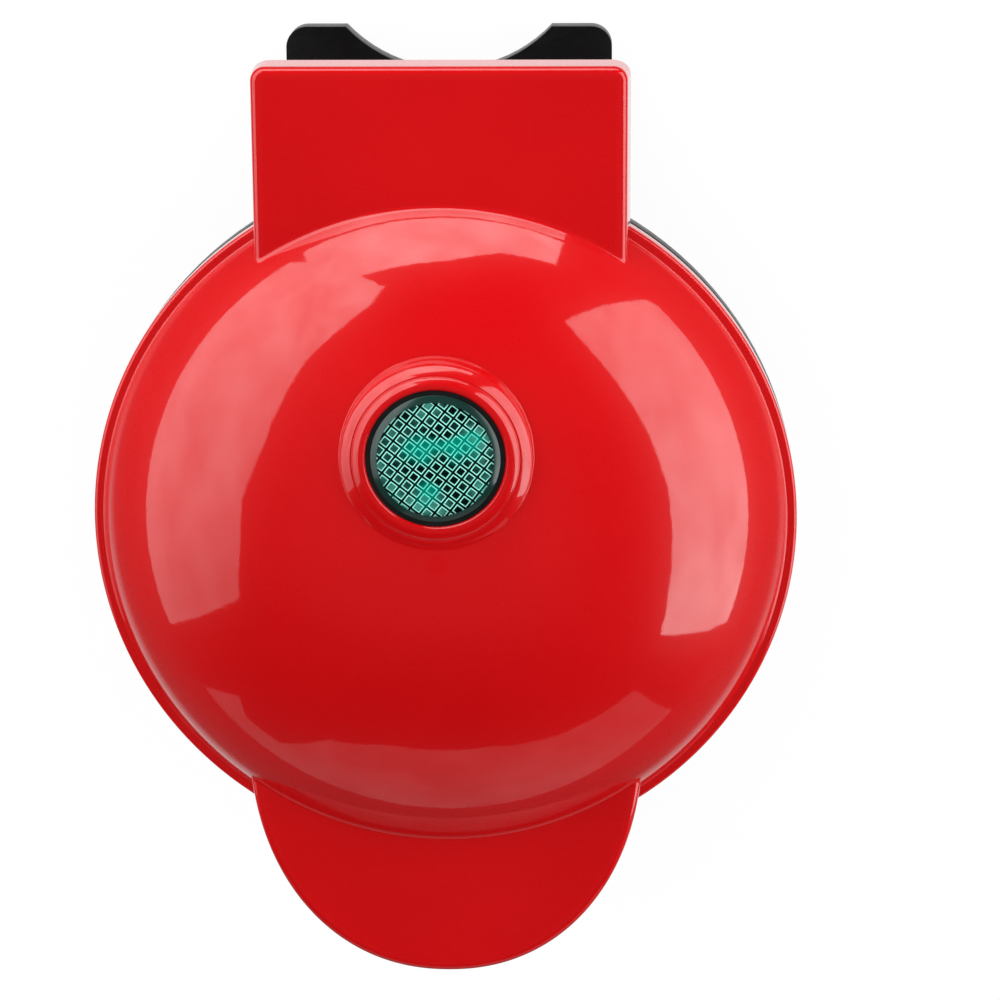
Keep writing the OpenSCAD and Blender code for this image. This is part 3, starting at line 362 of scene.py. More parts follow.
def hinge_block():
    """The block's top as straight lines from the dome's circle to the rear, and its edge rows carried round
    three sides."""
    corner_x, corner_y = BLOCK_HALF_W - BLOCK_CORNER_R, BLOCK_BACK_Y - BLOCK_CORNER_R
    x = np.linspace(-1, 1, BLOCK_COLS) * corner_x
    y0 = np.sqrt(SLAB_ROOT_R ** 2 - x ** 2)
    y = y0[:, None] + spread(corner_y - y0)
    xx = x[:, None] + 0 * y
    top = np.stack([xx, y, slab_heights(xx, y, np.full_like(y, SLAB_Z))], axis=-1)
    inset, z, start = edge_rows(BLOCK_DRAFT)
    round_r = BLOCK_CORNER_R - np.clip(inset, 0, BLOCK_CORNER_R)
    side_x = corner_x + round_r + np.maximum(-inset, 0)
    y_from = np.sqrt(np.maximum(start ** 2 - side_x ** 2, 0))
    side_y = y_from[:, None] + spread(corner_y - y_from)
    t = np.radians(np.linspace(0, 90, ROUND_COLS))[1:-1]
    across = np.linspace(1, -1, BLOCK_COLS)[None, :]
    right = np.stack([side_x[:, None] + 0 * side_y, side_y], axis=-1)
    turn = np.stack([corner_x + (side_x - corner_x)[:, None] * np.cos(t),
                     corner_y + round_r[:, None] * np.sin(t)], axis=-1)
    back = np.stack([corner_x * across + 0 * side_x[:, None],
                     (corner_y + round_r)[:, None] + 0 * across], axis=-1)
    mirror = np.array([-1, 1])
    ring = np.concatenate([right, turn, back, turn[:, ::-1] * mirror, right[:, ::-1] * mirror], axis=1)
    zz = z[:, None] + 0 * ring[..., 0]
    soft = (z > SLAB_Z - EDGE_R + 0.05)[:, None]
    zz = np.where(soft, slab_heights(ring[..., 0], ring[..., 1], zz), zz)
    edge = np.concatenate([ring, zz[..., None]], axis=-1)
    return [(part, grid_faces(*part.shape[:2])[:, :, ::-1]) for part in (top, edge)]


def handle():
    """The handle's edge rows carried round its oval, and its top as straight lines from the dome's circle
    to the oval."""
    inset, z, start = edge_rows(0.0)
    even = np.linspace(0, 1, HANDLE_COLS)
    f = 0.55 * (1 - np.cos(np.pi * even)) / 2 + 0.45 * even
    first = np.array([handle_start(i, r) for i, r in zip(inset, start)])
    t = first[:, None] + (np.pi - 2 * first)[:, None] * f[None, :]
    x, y = handle_curve(inset[:, None], t)
    zz = z[:, None] + 0 * x
    soft = (z > SLAB_Z - EDGE_R + 0.05)[:, None]
    zz = np.where(soft, slab_heights(x, y, zz), zz)
    edge = np.stack([x, y, zz], axis=-1)
    tx, ty = x[0], y[0]
    y0 = -np.sqrt(np.maximum(SLAB_ROOT_R ** 2 - tx ** 2, 0))
    yy = y0[:, None] - spread(np.maximum(y0 - ty, 0))
    xx = tx[:, None] + 0 * yy
    top = np.stack([xx, yy, slab_heights(xx, yy, np.full_like(yy, SLAB_Z))], axis=-1)
    return [(top, grid_faces(*top.shape[:2])[:, :, ::-1]), (edge, grid_faces(*edge.shape[:2]))]


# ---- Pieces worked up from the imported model's own ----

def cad_points(node):
    """A node's merged mesh as a bmesh of its own, in metres."""
    work = bmesh.new()
    work.from_mesh(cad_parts[node].data)
    bmesh.ops.remove_doubles(work, verts=work.verts, dist=1e-6)
    return work


def soften(node, name, material, body, width):
    """A copy of a node with its flat faces joined and its edges rounded by width mm, which stands for
    the node."""
    work = cad_points(node)
    bmesh.ops.dissolve_limit(work, angle_limit=math.radians(0.8), verts=work.verts, edges=work.edges)
    mesh = bpy.data.meshes.new(name)
    work.to_mesh(mesh)
    work.free()
    piece = bpy.data.objects.new(name, mesh)
    bpy.context.scene.collection.objects.link(piece)
    bevel = piece.modifiers.new("round", "BEVEL")
    bevel.width = width * MM
    bevel.segments = 2
    bevel.limit_method = "ANGLE"
    bevel.angle_limit = math.radians(32)
    bevel.use_clamp_overlap = True
    graph = bpy.context.evaluated_depsgraph_get()
    done = bpy.data.meshes.new_from_object(piece.evaluated_get(graph))
    bpy.data.objects.remove(piece)
    piece = finish_piece(name, done, material, body, 0.0, 30)
    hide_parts(node)
    return piece


def lid_inside():
    """The lid housing's inner faces and lugs: its merged mesh with all outer points drawn in by DRAWN_IN, so
    that they lie under the skin."""
    work = cad_points("upper_housing")
    p = np.array([v.co for v in work.verts]) / MM
    x, y, z = p.T
    r = np.hypot(x, y)
    u = np.hypot(x, y - LENS_Y)
    above_dome = z - dome_z(r)
    in_block = (y > 30) & (np.abs(x) < BLOCK_HALF_W + 0.1)
    in_handle = (y < -30) & (np.abs(x) < HANDLE_HALF_W + 0.1)
    q = p.copy()

    on_dome = (z > LEDGE_Z - 0.05) & (z < LEDGE_Z + DOME_H + 0.1)
    on_dome &= np.abs(r - dome_r(np.minimum(z, RING_Z - 1.3))) < 0.25
    on_dome |= (np.abs(above_dome) < 0.15) & (r < FOOT_R + 0.1)
    middle = np.array([0, 0, DOME_MID_Z])
    shrink = 1 - DRAWN_IN / np.array([DOME_FULL_R, DOME_FULL_R, DOME_FULL_H])
    q[on_dome] = (p[on_dome] - middle) * shrink + middle

    on_ring = (u > BORE_R + 0.05) & (u < MOUND_R + 0.15) & (above_dome > -0.3) & (z > 60)
    on_ring |= (np.abs(u - MOUND_R) < 0.15) & (above_dome > -1.5)
    narrower = 1 - MOUND_NARROWER * np.clip((u - BORE_R) / (MOUND_R - BORE_R), 0, 1)[on_ring]
    q[on_ring, 0] = x[on_ring] * narrower
    q[on_ring, 1] = LENS_Y + (y[on_ring] - LENS_Y) * narrower
    q[on_ring, 2] = np.minimum(z[on_ring], RING_Z) - DRAWN_IN
    bore = (np.abs(u - BORE_R) < 0.05) & (z > 60)
    q[bore, 0] = x[bore] * BORE_WIDER
    q[bore, 1] = LENS_Y + (y[bore] - LENS_Y) * BORE_WIDER
    q[bore, 2] = np.minimum(z[bore], RING_Z - DRAWN_IN)

    on_brim = (r > BRIM_R - 0.15) & (z < LEDGE_Z + 0.1) & ~((in_block | in_handle) & (r > BRIM_R + 0.1))
    q[on_brim, :2] = p[on_brim, :2] * ((BRIM_R - DRAWN_IN) / r[on_brim])[:, None]
    q[on_brim & (z > LEDGE_Z - 0.1), 2] = LEDGE_Z - DRAWN_UP

    out = r > 58
    side = in_block & out & (np.abs(np.abs(x) - BLOCK_HALF_W) < 0.1)
    q[side, 0] = np.sign(x[side]) * (BLOCK_HALF_W - DRAWN_IN)
    rear = in_block & (y > BLOCK_BACK_Y - 0.1)
    q[rear, 1] = BLOCK_BACK_Y - DRAWN_IN
    cx, cy = BLOCK_HALF_W - BLOCK_CORNER_R, BLOCK_BACK_Y - BLOCK_CORNER_R
    bend = np.hypot(np.abs(x) - cx, y - cy)
    corner = (np.abs(x) > cx - 0.01) & (y > cy - 0.01) & (np.abs(bend - BLOCK_CORNER_R) < 0.1)
    k = (BLOCK_CORNER_R - DRAWN_IN) / bend[corner]
    q[corner, 0] = np.sign(x[corner]) * (cx + (np.abs(x[corner]) - cx) * k)
    q[corner, 1] = cy + (y[corner] - cy) * k

    a, b = HANDLE_HALF_W, HANDLE_MID_Y - HANDLE_TIP_Y
    ahead = np.maximum(HANDLE_MID_Y - y, 0)
    oval = (np.abs(x) / a) ** HANDLE_POWER + (ahead / b) ** HANDLE_POWER
    around = (y < HANDLE_MID_Y + 0.1) & (oval > 0.985) & out
    q[around, 0] = x[around] * (a - DRAWN_IN) / a
    q[around, 1] = HANDLE_MID_Y + (y[around] - HANDLE_MID_Y) * (b - DRAWN_IN) / b
    top = (np.abs(z - SLAB_Z) < 0.05) & (in_block | in_handle) & (r > 57)
    q[top, 2] = SLAB_Z - DRAWN_IN
    foot = (np.abs(z - LID_EDGE_Z) < 0.05) & (on_brim | side | rear | corner | around)
    q[foot, 2] = LID_EDGE_Z + DRAWN_UP

    for v, co in zip(work.verts, q * MM):
        v.co = co
    mesh = bpy.data.meshes.new("inside")
    work.to_mesh(mesh)
    work.free()
    return mesh


# ---- Finishes ----

def level(*rgb):
    """Linear colour of 0 to 255 screen values, by the usual rule: a straight part for the darkest, then
    a power of 2.4."""
    v = [c / 255 for c in rgb]
    return tuple(c / 12.92 if c <= 0.04045 else ((c + 0.055) / 1.055) ** 2.4 for c in v) + (1.0,)


class Finish:
    """A material under construction: short calls for the nodes that most finishes share."""

    def __init__(self, name, **sockets):
        self.material = bpy.data.materials.new(name)
        self.material.use_nodes = True
        self.tree = self.material.node_tree
        self.shader = self.tree.nodes["Principled BSDF"]
        for socket, value in sockets.items():
            self.shader.inputs[socket.replace("_", " ")].default_value = value
        self.place = self.node("ShaderNodeTexCoord").outputs["Object"]

    def node(self, kind, links=(), **values):
        """A new node with its settings; links gives an input either an output to take from or a value."""
        n = self.tree.nodes.new(kind)
        for key, value in values.items():
            setattr(n, key, value)
        for socket, source in dict(links).items():
            if hasattr(source, "is_output"):
                self.tree.links.new(source, n.inputs[socket])
            else:
                n.inputs[socket].default_value = source
        return n

    def noise(self, size_mm, detail=2.0, rough=0.5, place=None):
        """Soft noise whose patches are about size_mm across."""
        n = self.node("ShaderNodeTexNoise", {"Vector": place or self.place, "Scale": 1000 / size_mm,
                                             "Detail": detail, "Roughness": rough})
        return n.outputs["Fac"]

    def spread(self, value, low, high, to_low, to_high, smooth=False):
        """value moved from the range low..high to to_low..to_high."""
        n = self.node("ShaderNodeMapRange", {"Value": value, "From Min": low, "From Max": high,
                                             "To Min": to_low, "To Max": to_high})
        n.interpolation_type = "SMOOTHSTEP" if smooth else "LINEAR"
        return n.outputs["Result"]

    def mix(self, factor, a, b):
        """Colour a where factor is 0, b where it is 1."""
        n = self.node("ShaderNodeMix", data_type="RGBA")
        for index, source in ((0, factor), (6, a), (7, b)):
            if hasattr(source, "is_output"):
                self.tree.links.new(source, n.inputs[index])
            else:
                n.inputs[index].default_value = source
        return n.outputs[2]

    def calc(self, kind, a, b):
        """a and b joined by a sum of the given kind, such as ADD or MULTIPLY."""
        n = self.node("ShaderNodeMath", {0: a, 1: b}, operation=kind)
        return n.outputs[0]

    def join(self, socket, source):
        """Takes the shader's socket from source."""
        self.tree.links.new(source, self.shader.inputs[socket])

    def bump(self, height, depth_mm, socket="Normal"):
        """Relief of depth_mm where height goes from 0 to 1."""
        n = self.node("ShaderNodeBump", {"Height": height, "Strength": 1.0, "Distance": depth_mm * MM})
        self.join(socket, n.outputs["Normal"])


def moulded(name, colour, tone, rough, grain_mm, grain_depth, shine=0.5, wear=0.0):
    """Moulded plastic: two tones in broad soft patches, a fine grain in relief, and gloss that varies a
    little."""
    m = Finish(name, Roughness=rough, IOR=1.49, Specular_IOR_Level=shine)
    broad = m.noise(22, 3)
    fine = m.noise(grain_mm, 3, 0.6)
    m.join("Base Color", m.mix(m.spread(broad, 0.35, 0.65, 0, 1), level(*colour), level(*tone)))
    m.join("Roughness", m.spread(m.calc("ADD", broad, fine), 0.7, 1.3, rough * 0.82, rough * 1.2 + wear))
    m.bump(fine, grain_depth)
    return m.material


def metal(name, colour, rough, grain_mm, depth, stretch=(1, 1, 1), tint=None):
    """Bare or plated metal: drawn or cast grain in relief, with gloss and tone that vary along it."""
    m = Finish(name, Metallic=1.0, Roughness=rough)
    place = m.node("ShaderNodeMapping", {"Vector": m.place, "Scale": stretch}).outputs["Vector"]
    grain = m.noise(grain_mm, 4, 0.6, place)
    broad = m.noise(9, 3)
    m.join("Base Color", m.mix(m.spread(broad, 0.3, 0.7, 0, 1), level(*colour), level(*(tint or colour))))
    m.join("Roughness", m.spread(grain, 0.3, 0.7, rough * 0.75, rough * 1.3))
    m.bump(grain, depth)
    return m.material


def red_lacquer():
    """Glossy red: deep colour that drifts very slightly, a hard clear coat, and the faint waviness of
    sprayed gloss."""
    m = Finish("red_lacquer", Roughness=0.3, IOR=1.5, Specular_IOR_Level=0.15,
               Coat_Weight=1.0, Coat_Roughness=0.045, Coat_IOR=1.5)
    broad = m.noise(30, 2)
    peel = m.noise(2.6, 2, 0.45)
    dust = m.noise(0.35, 2, 0.6)
    m.join("Base Color", m.mix(m.spread(broad, 0.3, 0.7, 0, 1), level(205, 3, 9), level(211, 7, 13)))
    m.join("Roughness", m.spread(dust, 0.3, 0.7, 0.26, 0.36))
    m.bump(peel, 0.012)
    waves = m.calc("ADD", m.noise(3.4, 1, 0.4), m.calc("MULTIPLY", m.noise(0.9, 2, 0.5), 0.55))
    m.bump(waves, 0.007, socket="Coat Normal")
    return m.material


def non_stick():
    """Dark non-stick coating: satin black with fine sparkle specks and a soft sprayed grain."""
    m = Finish("non_stick_coating", Roughness=0.42, IOR=1.5, Specular_IOR_Level=0.6)
    speck = m.node("ShaderNodeTexVoronoi", {"Vector": m.place, "Scale": 2600.0}).outputs["Distance"]
    dots = m.spread(speck, 0.05, 0.16, 1, 0)
    broad = m.noise(14, 3)
    base = m.mix(m.spread(broad, 0.3, 0.7, 0, 1), level(34, 34, 37), level(45, 45, 48))
    m.join("Base Color", m.mix(m.calc("MULTIPLY", dots, 0.35), base, level(120, 120, 124)))
    m.join("Roughness", m.spread(m.noise(0.8, 3, 0.6), 0.3, 0.7, 0.34, 0.52))
    m.bump(m.noise(0.45, 3, 0.6), 0.02)
    return m.material


def lens_pattern():
    """The lens's inner face: rows of square cells CELL_SIZE mm wide and turned CELL_TURN degrees, each with
    a bright outline, a dark middle and dark lines between the cells; a dark rim. The outlines' brightness is
    a painted highlight of light caught on their facets, and teal patches, with paler middles towards the
    edge, are painted light shining through the lens."""
    m = Finish("lens_cells_painted_light", Roughness=0.25, IOR=1.5, Specular_IOR_Level=0.0)
    moved = m.node("ShaderNodeMapping", {"Vector": m.place, "Location": (0, -LENS_Y * MM, 0)})
    centred = moved.outputs["Vector"]
    turned = m.node("ShaderNodeMapping", {"Vector": centred, "Rotation": (0, 0, math.radians(CELL_TURN)),
                                          "Scale": (1000 / CELL_SIZE,) * 3})
    parts = m.node("ShaderNodeSeparateXYZ", {"Vector": turned.outputs["Vector"]})
    away = []
    for axis in "XY":
        cell = m.calc("FRACT", parts.outputs[axis], 0)
        away.append(m.calc("ABSOLUTE", m.calc("SUBTRACT", cell, 0.5), 0))
    square = m.calc("MAXIMUM", away[0], away[1])
    outer = m.spread(square, 0.38, 0.42, 1, 0, True)
    inner = m.spread(square, 0.28, 0.32, 0, 1, True)
    outline = m.calc("MULTIPLY", outer, inner)
    inner_dark = m.calc("SUBTRACT", 1.0, inner)
    flat = m.node("ShaderNodeSeparateXYZ", {"Vector": centred})
    # Painted light: noise patches where the cells are drawn lit teal, as if light shone through the lens
    glow_patches = m.noise(6.5, 1, 0.4, centred)
    painted_glow = m.spread(glow_patches, 0.5, 0.68, 0, 1, True)
    level_xy = m.node("ShaderNodeCombineXYZ", {"X": flat.outputs["X"], "Y": flat.outputs["Y"]})
    distance = m.node("ShaderNodeVectorMath", {0: level_xy.outputs[0]}, operation="LENGTH")
    away_xy = distance.outputs["Value"]
    # Painted light: within the patches, the cell middles grow paler towards the lens's edge
    edge = m.calc("MULTIPLY", m.spread(away_xy, 5 * MM, 10 * MM, 0, 0.8, True),
                  m.spread(glow_patches, 0.35, 0.55, 0, 1, True))
    # Painted light: the cell middles go from near black to lit teal across the patches
    dark = m.mix(painted_glow, level(0, 15, 13), level(2, 122, 107))
    dark = m.mix(m.calc("MULTIPLY", inner_dark, edge), dark, level(84, 154, 143))
    # Painted highlight: the outlines' bright mint stands for light caught on the cells' facets
    bright = m.mix(painted_glow, level(170, 244, 233), level(92, 232, 213))
    colour = m.mix(outline, dark, bright)
    rim = m.spread(away_xy, 10.0 * MM, 10.5 * MM, 0, 1, True)
    m.join("Base Color", m.mix(rim, colour, level(24, 52, 47)))
    m.join("Roughness", m.spread(outline, 0, 1, 0.4, 0.2))
    m.bump(outline, 0.12)
    return m.material


def clear_green():
    """Clear green lens plastic with faint flow waves and hardly any roughness."""
    m = Finish("green_lens_plastic", Transmission_Weight=1.0, IOR=1.15, Roughness=0.02,
               Coat_Weight=1.0, Coat_Roughness=0.06, Base_Color=level(236, 255, 250))
    m.join("Roughness", m.spread(m.noise(3, 2), 0.3, 0.7, 0.01, 0.04))
    m.bump(m.noise(5, 1), 0.01)
    return m.material


def woven(name, colour, tone):
    """Braided glass sleeve: two crossed sets of fine bands."""
    m = Finish(name, Roughness=0.8, Sheen_Weight=0.2)
    bands = []
    for angle in (0.8, -0.8):
        turned = m.node("ShaderNodeMapping", {"Vector": m.place, "Rotation": (0, angle, angle)})
        wave = m.node("ShaderNodeTexWave", {"Vector": turned.outputs["Vector"], "Scale": 420.0})
        bands.append(wave.outputs["Fac"])
    weave = m.calc("MAXIMUM", *bands)
    m.join("Base Color", m.mix(weave, level(*tone), level(*colour)))
    m.join("Roughness", m.spread(weave, 0, 1, 0.9, 0.7))
    m.bump(weave, 0.15)
    return m.material


def lamp_glass():
    """Thin glass of the neon lamp with a warm tint and a slight frost."""
    m = Finish("lamp_bulb_glass", Transmission_Weight=0.9, IOR=1.45, Roughness=0.1,
               Base_Color=level(255, 196, 140))
    m.join("Roughness", m.spread(m.noise(1.2, 2), 0.3, 0.7, 0.05, 0.2))
    m.bump(m.noise(2, 2), 0.02)
    return m.material


RED = red_lacquer()
BLACK_GLOSS = moulded("black_shell_plastic", (8, 8, 9), (12, 12, 13), 0.36, 0.9, 0.012, shine=0.35)
BLACK_SATIN = moulded("black_frame_plastic", (24, 24, 25), (31, 31, 33), 0.46, 0.5, 0.03)
PALE = moulded("pale_holder_plastic", (214, 210, 196), (224, 221, 209), 0.45, 0.6, 0.02)
CERAMIC = moulded("ceramic", (226, 222, 210), (236, 233, 225), 0.55, 0.3, 0.03)
WIRE = moulded("wire_cover", (206, 200, 188), (196, 190, 176), 0.5, 0.25, 0.02)
RUBBER = moulded("foot_rubber", (26, 26, 27), (36, 36, 37), 0.72, 0.3, 0.05, wear=0.06)
SEAL = moulded("seal_rubber", (8, 10, 10), (13, 15, 15), 0.5, 0.3, 0.02)
LENS_RIM = moulded("lens_rim_plastic", (20, 46, 41), (28, 58, 52), 0.12, 3.0, 0.004)
COATING = non_stick()
HEATER = metal("heater_steel", (120, 112, 102), 0.42, 0.5, 0.02, tint=(146, 132, 112))
ZINC = metal("zinc_steel", (176, 178, 180), 0.34, 0.8, 0.015, tint=(190, 188, 178))
SHIELD = metal("bright_shield", (205, 206, 208), 0.28, 1.2, 0.02, stretch=(1, 14, 1))
SCREW = metal("screw_steel", (168, 168, 170), 0.3, 0.4, 0.01, tint=(150, 150, 154))
PIN = metal("pin_steel", (176, 177, 180), 0.22, 0.5, 0.01, stretch=(0.1, 1, 1))
WOVEN = woven("woven_sleeve", (226, 222, 206), (188, 182, 164))
LAMP = lamp_glass()

# ---- The red lid ----

skin = [lid_crown()] + hinge_block() + handle()
lid_shell = make_piece("lid_shell", skin, RED, "lid", smooth=40)
inside = lid_inside()
work = bmesh.new()
work.from_mesh(lid_shell.data)
work.from_mesh(inside)
work.to_mesh(lid_shell.data)
work.free()
bpy.data.meshes.remove(inside)
lid_shell.data.shade_smooth()
lid_shell.data.set_sharp_from_angle(angle=math.radians(40))
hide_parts("upper_housing")

# ---- The lens and its seal ----

# The crown: an upright side, a sloping edge with rounded corners, then the shallow cap
crown = rounded([(LENS_R, LENS_EDGE_Z - 0.9), (LENS_R, LENS_EDGE_Z - 0.08), (CAP_R, LENS_TOP_Z - CAP_SAG),
                 (0.8 * CAP_R, LENS_TOP_Z - 0.8 ** 2 * CAP_SAG)], [0.25, 0.3], 5).tolist()
crown += [(CAP_R * f, LENS_TOP_Z - CAP_SAG * f * f) for f in (0.6, 0.4, 0.2, 0.0)]
inner_z = LENS_EDGE_Z - LENS_T
foot_z = LENS_SEAT_Z - LENS_T
glass = np.array([(0.0, inner_z), (LENS_SKIRT_R, inner_z), (LENS_SKIRT_R, foot_z), (LENS_FLANGE_R, foot_z),
                  (LENS_FLANGE_R, LENS_SEAT_Z), (LENS_R, LENS_SEAT_Z)] + crown)
lens = make_piece("lens_glass", [lathe(glass, LENS_Y, 120)], clear_green(), "lid", smooth=50)
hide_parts("indicator_lens")
# The crown's edge outside the cap is opaque, so that it mirrors the lights cleanly
lens.data.materials.append(LENS_RIM)
middles = np.array([f.center for f in lens.data.polygons]) / MM
on_rim = (np.hypot(middles[:, 0], middles[:, 1] - LENS_Y) > CAP_R) & (middles[:, 2] > LENS_EDGE_Z - 1)
lens.data.polygons.foreach_set("material_index", on_rim.astype(np.int32))
# The patterned disc inside, whose colours hold the lens's painted light and painted highlights: (radius,
# depth under the lens's edge)
disc = ((0.0, 0.9), (CELLS_R, 0.9), (CELLS_R, 0.6), (10.6, 0.25), (9.95, 0.25), (5.0, 0.05), (0.0, 0.0))
cells = np.array([(r, LENS_EDGE_Z - depth) for r, depth in disc])
pattern = lens_pattern()
make_piece("lens_cells_painted_light", [lathe(cells, LENS_Y, 96)], pattern, "lid", smooth=30)

# ---- Pieces with softened edges ----

soften("lower_housing", "base_shell", BLACK_GLOSS, "base", 0.4)
soften("upper_frame", "lid_frame", BLACK_SATIN, "lid", 0.25)
soften("lower_frame", "base_frame", BLACK_SATIN, "base", 0.25)
soften("upper_plate", "lid_plate", COATING, "lid", 0.5)
soften("lower_plate", "base_plate", COATING, "base", 0.5)
soften("base_cover", "underside_cover", BLACK_SATIN, "base", 0.3)
soften("rubber_feet", "feet", RUBBER, "base", 0.4)
soften("cord_gland", "inlet_gland", BLACK_SATIN, "base", 0.25)

# ---- Finishes of the pieces that keep their own shape ----

FINISHES = {
    "lens_seal": SEAL, "lamp_holder": PALE, "neon_lamp": LAMP,
    "thermostat": CERAMIC, "terminal_block": CERAMIC,
    "upper_heater": HEATER, "lower_heater": HEATER, "upper_heater_clamp": ZINC, "lower_heater_clamp": ZINC,
    "upper_heat_shield": SHIELD, "lower_heat_shield": SHIELD, "cord_clamp": BLACK_SATIN, "thermal_fuse": ZINC,
    "hinge_pins": PIN, "lid_wiring": WIRE, "base_wiring": WIRE, "lid_sleeve": WOVEN, "base_sleeve": WOVEN,
}
for node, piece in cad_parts.items():
    if piece.hide_render:
        continue
    finish = FINISHES.get(node, SCREW)
    piece.data.materials.clear()
    piece.data.materials.append(finish)

# ---- Floor, light and camera ----

def ranged(tree, value, low, high, to_low, to_high):
    """value moved from the range low..high to to_low..to_high, and held at its ends."""
    n = tree.nodes.new("ShaderNodeMapRange")
    for socket, number in zip(("From Min", "From Max", "To Min", "To Max"), (low, high, to_low, to_high)):
        n.inputs[socket].default_value = number
    tree.links.new(value, n.inputs["Value"])
    return n.outputs["Result"]


def glow_material(name, radiance, near=None, span=(-0.3, 0.4), axis="Y"):
    """Soft light, a little cloudy; with near given, its radiance goes from near to radiance along the axis
    over span."""
    material = bpy.data.materials.new(name)
    material.use_nodes = True
    tree = material.node_tree
    tree.nodes.remove(tree.nodes["Principled BSDF"])
    place = tree.nodes.new("ShaderNodeTexCoord").outputs["Object"]
    parts = tree.nodes.new("ShaderNodeSeparateXYZ")
    tree.links.new(place, parts.inputs[0])
    ramp = ranged(tree, parts.outputs[axis], *span, radiance if near is None else near, radiance)
    cloud = tree.nodes.new("ShaderNodeTexNoise")
    cloud.inputs["Scale"].default_value = 6.0
    cloud.inputs["Detail"].default_value = 2.0
    tree.links.new(place, cloud.inputs["Vector"])
    share = ranged(tree, cloud.outputs["Fac"], 0.3, 0.7, 0.78, 1.22)
    product = tree.nodes.new("ShaderNodeMath")
    product.operation = "MULTIPLY"
    tree.links.new(ramp, product.inputs[0])
    tree.links.new(share, product.inputs[1])
    glow = tree.nodes.new("ShaderNodeEmission")
    tree.links.new(product.outputs[0], glow.inputs["Strength"])
    tree.links.new(glow.outputs[0], tree.nodes["Material Output"].inputs["Surface"])
    return material


def panel(name, points, *light):
    """A flat soft light through the given corners in metres, hidden from the camera itself."""
    mesh = bpy.data.meshes.new(name)
    mesh.from_pydata(points, [], [tuple(range(len(points)))])
    mesh.materials.append(glow_material(name, *light))
    holder = bpy.data.objects.new(name, mesh)
    bpy.context.scene.collection.objects.link(holder)
    holder.visible_camera = False


def overhead_light(location, size, radiance):
    """A level square light that mirror-like surfaces don't show."""
    lamp = bpy.data.lights.new("overhead_panel", "AREA")
    lamp.shape = "SQUARE"
    lamp.size = size
    lamp.energy = radiance * size ** 2 * math.pi
    overhead = bpy.data.objects.new("overhead_panel", lamp)
    bpy.context.scene.collection.objects.link(overhead)
    overhead.location = location
    overhead.visible_glossy = False


# Corners in metres: (y, z) for the panels at the sides, (x, z) for those behind and in front
LEFT_EDGE = ((-0.35, 0.05), (-0.35, 0.54), (-0.19, 0.60), (-0.05, 0.61), (0.10, 0.69), (0.53, 0.79),
             (0.90, 0.98), (0.90, 0.14), (0.79, 0.05))
RIGHT_EDGE = ((-0.36, 0.03), (-0.47, 0.44), (-0.30, 0.47), (0.00, 0.50), (0.23, 0.57), (0.60, 0.72),
              (0.88, 0.79), (0.72, 0.39), (0.55, 0.06), (0.50, 0.03))
REAR_EDGE = ((-0.6, 0.01), (-0.6, 0.98), (-0.38, 0.78), (-0.29, 0.62), (-0.38, 0.47), (0.0, 0.42),
             (0.2, 0.30), (0.43, 0.27), (0.43, 0.01))
FRONT_EDGE = ((-0.97, 0.01), (-0.82, 0.30), (-0.72, 0.16), (-0.55, 0.16), (-0.41, 0.42), (-0.21, 0.53),
              (0.11, 0.53), (0.35, 0.48), (0.72, 0.50), (0.74, 0.01))
SIDE_AWAY, END_AWAY = 0.6, 0.9
panel("left_panel", [(-SIDE_AWAY, y, z) for y, z in LEFT_EDGE], 2.8, 1.35)
panel("right_panel", [(SIDE_AWAY, y, z) for y, z in RIGHT_EDGE], 2.75, 3.8)
panel("rear_panel", [(x, END_AWAY, z) for x, z in REAR_EDGE], 3.9, 2.9, (-0.6, -0.2), "X")
panel("front_panel", [(x, -END_AWAY, z) for x, z in FRONT_EDGE], 0.42)
overhead_light(location=(-0.1, 0.0, 1.3), size=1.4, radiance=1.16)


def highest(tree, *values):
    """The highest of several node outputs."""
    last = values[0]
    for other in values[1:]:
        m = tree.nodes.new("ShaderNodeMath")
        m.operation = "MAXIMUM"
        tree.links.new(last, m.inputs[0])
        tree.links.new(other, m.inputs[1])
        last = m.outputs[0]
    return last


def shares(tree, value, seen, mirrored):
    """value, or seen where the camera sees it or glass passes it, or mirrored in a glossy surface, if that
    is more."""
    path = tree.nodes.new("ShaderNodeLightPath")
    direct = highest(tree, path.outputs["Is Camera Ray"], path.outputs["Is Transmission Ray"])
    parts = [ranged(tree, direct, 0, 1, 0, seen),
             ranged(tree, path.outputs["Is Glossy Ray"], 0, 1, 0, mirrored)]
    if not hasattr(value, "is_output"):
        rest = tree.nodes.new("ShaderNodeValue")
        rest.outputs[0].default_value = value
        value = rest.outputs[0]
    return highest(tree, value, *parts)


# The floor's glow: what the camera sees, the disc under the object with its two radii, and the far parts;
# then the glow's share against the matt, seen and mirrored
SEEN_GLOW, DISC_GLOW, FAR_GLOW = 1.06, 0.95, 0.05
DISC_R, FADED_R = 0.098, 0.135
SEEN_SHARE, MIRRORED_SHARE = 0.88, 0.95


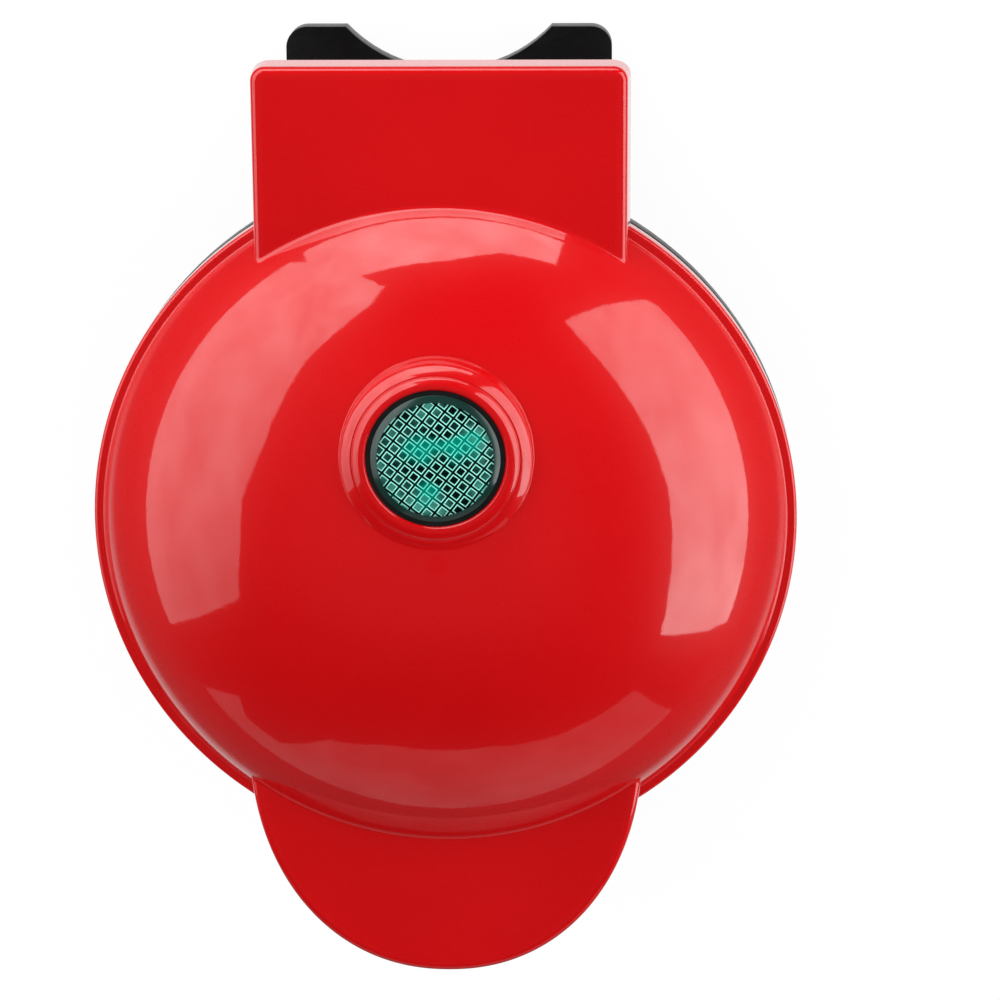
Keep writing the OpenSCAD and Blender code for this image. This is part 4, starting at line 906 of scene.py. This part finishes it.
def white_paper():
    """Matt paper with a glow of its own: the camera sees the glow with a little of the matt in it, for the
    soft shadow; glossy surfaces mirror a bright disc under the object that fades out between two radii."""
    paper = bpy.data.materials.new("white_floor")
    paper.use_nodes = True
    tree = paper.node_tree
    matt = tree.nodes["Principled BSDF"]
    matt.inputs["Base Color"].default_value = (0.7, 0.7, 0.7, 1)
    matt.inputs["Roughness"].default_value = 0.9
    matt.inputs["Specular IOR Level"].default_value = 0.1
    glow = tree.nodes.new("ShaderNodeEmission")
    away = tree.nodes.new("ShaderNodeVectorMath")
    away.operation = "LENGTH"
    tree.links.new(tree.nodes.new("ShaderNodeTexCoord").outputs["Object"], away.inputs[0])
    disc = ranged(tree, away.outputs["Value"], DISC_R, FADED_R, DISC_GLOW, FAR_GLOW)
    tree.links.new(shares(tree, disc, SEEN_GLOW, 0.0), glow.inputs["Strength"])
    blend = tree.nodes.new("ShaderNodeMixShader")
    tree.links.new(shares(tree, 0.0, SEEN_SHARE, MIRRORED_SHARE), blend.inputs[0])
    tree.links.new(matt.outputs[0], blend.inputs[1])
    tree.links.new(glow.outputs[0], blend.inputs[2])
    tree.links.new(blend.outputs[0], tree.nodes["Material Output"].inputs["Surface"])
    return paper


def lay_floor(half):
    """A square floor at height 0, reaching half metres from the middle."""
    mesh = bpy.data.meshes.new("floor")
    mesh.from_pydata([(-half, -half, 0), (half, -half, 0), (half, half, 0), (-half, half, 0)], [],
                     [(0, 1, 2, 3)])
    mesh.materials.append(white_paper())
    floor = bpy.data.objects.new("floor", mesh)
    bpy.context.scene.collection.objects.link(floor)


def studio_world():
    """White where the camera or glass sees it, and nearly dark for everything else."""
    world = bpy.data.worlds.new("studio")
    bpy.context.scene.world = world
    world.use_nodes = True
    tree = world.node_tree
    sky = tree.nodes["Background"]
    sky.inputs["Color"].default_value = (1, 1, 1, 1)
    tree.links.new(shares(tree, 0.03, 1.0, 0.0), sky.inputs["Strength"])


lay_floor(6.0)
studio_world()

camera_data = bpy.data.cameras.new("camera")
camera_data.lens = 119.66
camera_data.sensor_width = 36
camera = bpy.data.objects.new("camera", camera_data)
bpy.context.scene.collection.objects.link(camera)
right = Vector((0.99948991, -0.00569713, -0.03142377))
up = Vector((-0.00273263, 0.96509437, -0.26188812))
back = Vector((0.03181892, 0.2618404, 0.96458652))
place = Matrix.Translation((0.0290951, 0.1609847, 0.6189685))
camera.matrix_world = place @ Matrix((right, up, back)).transposed().to_4x4()
bpy.context.scene.camera = camera
bpy.context.scene.view_settings.view_transform = "Standard"
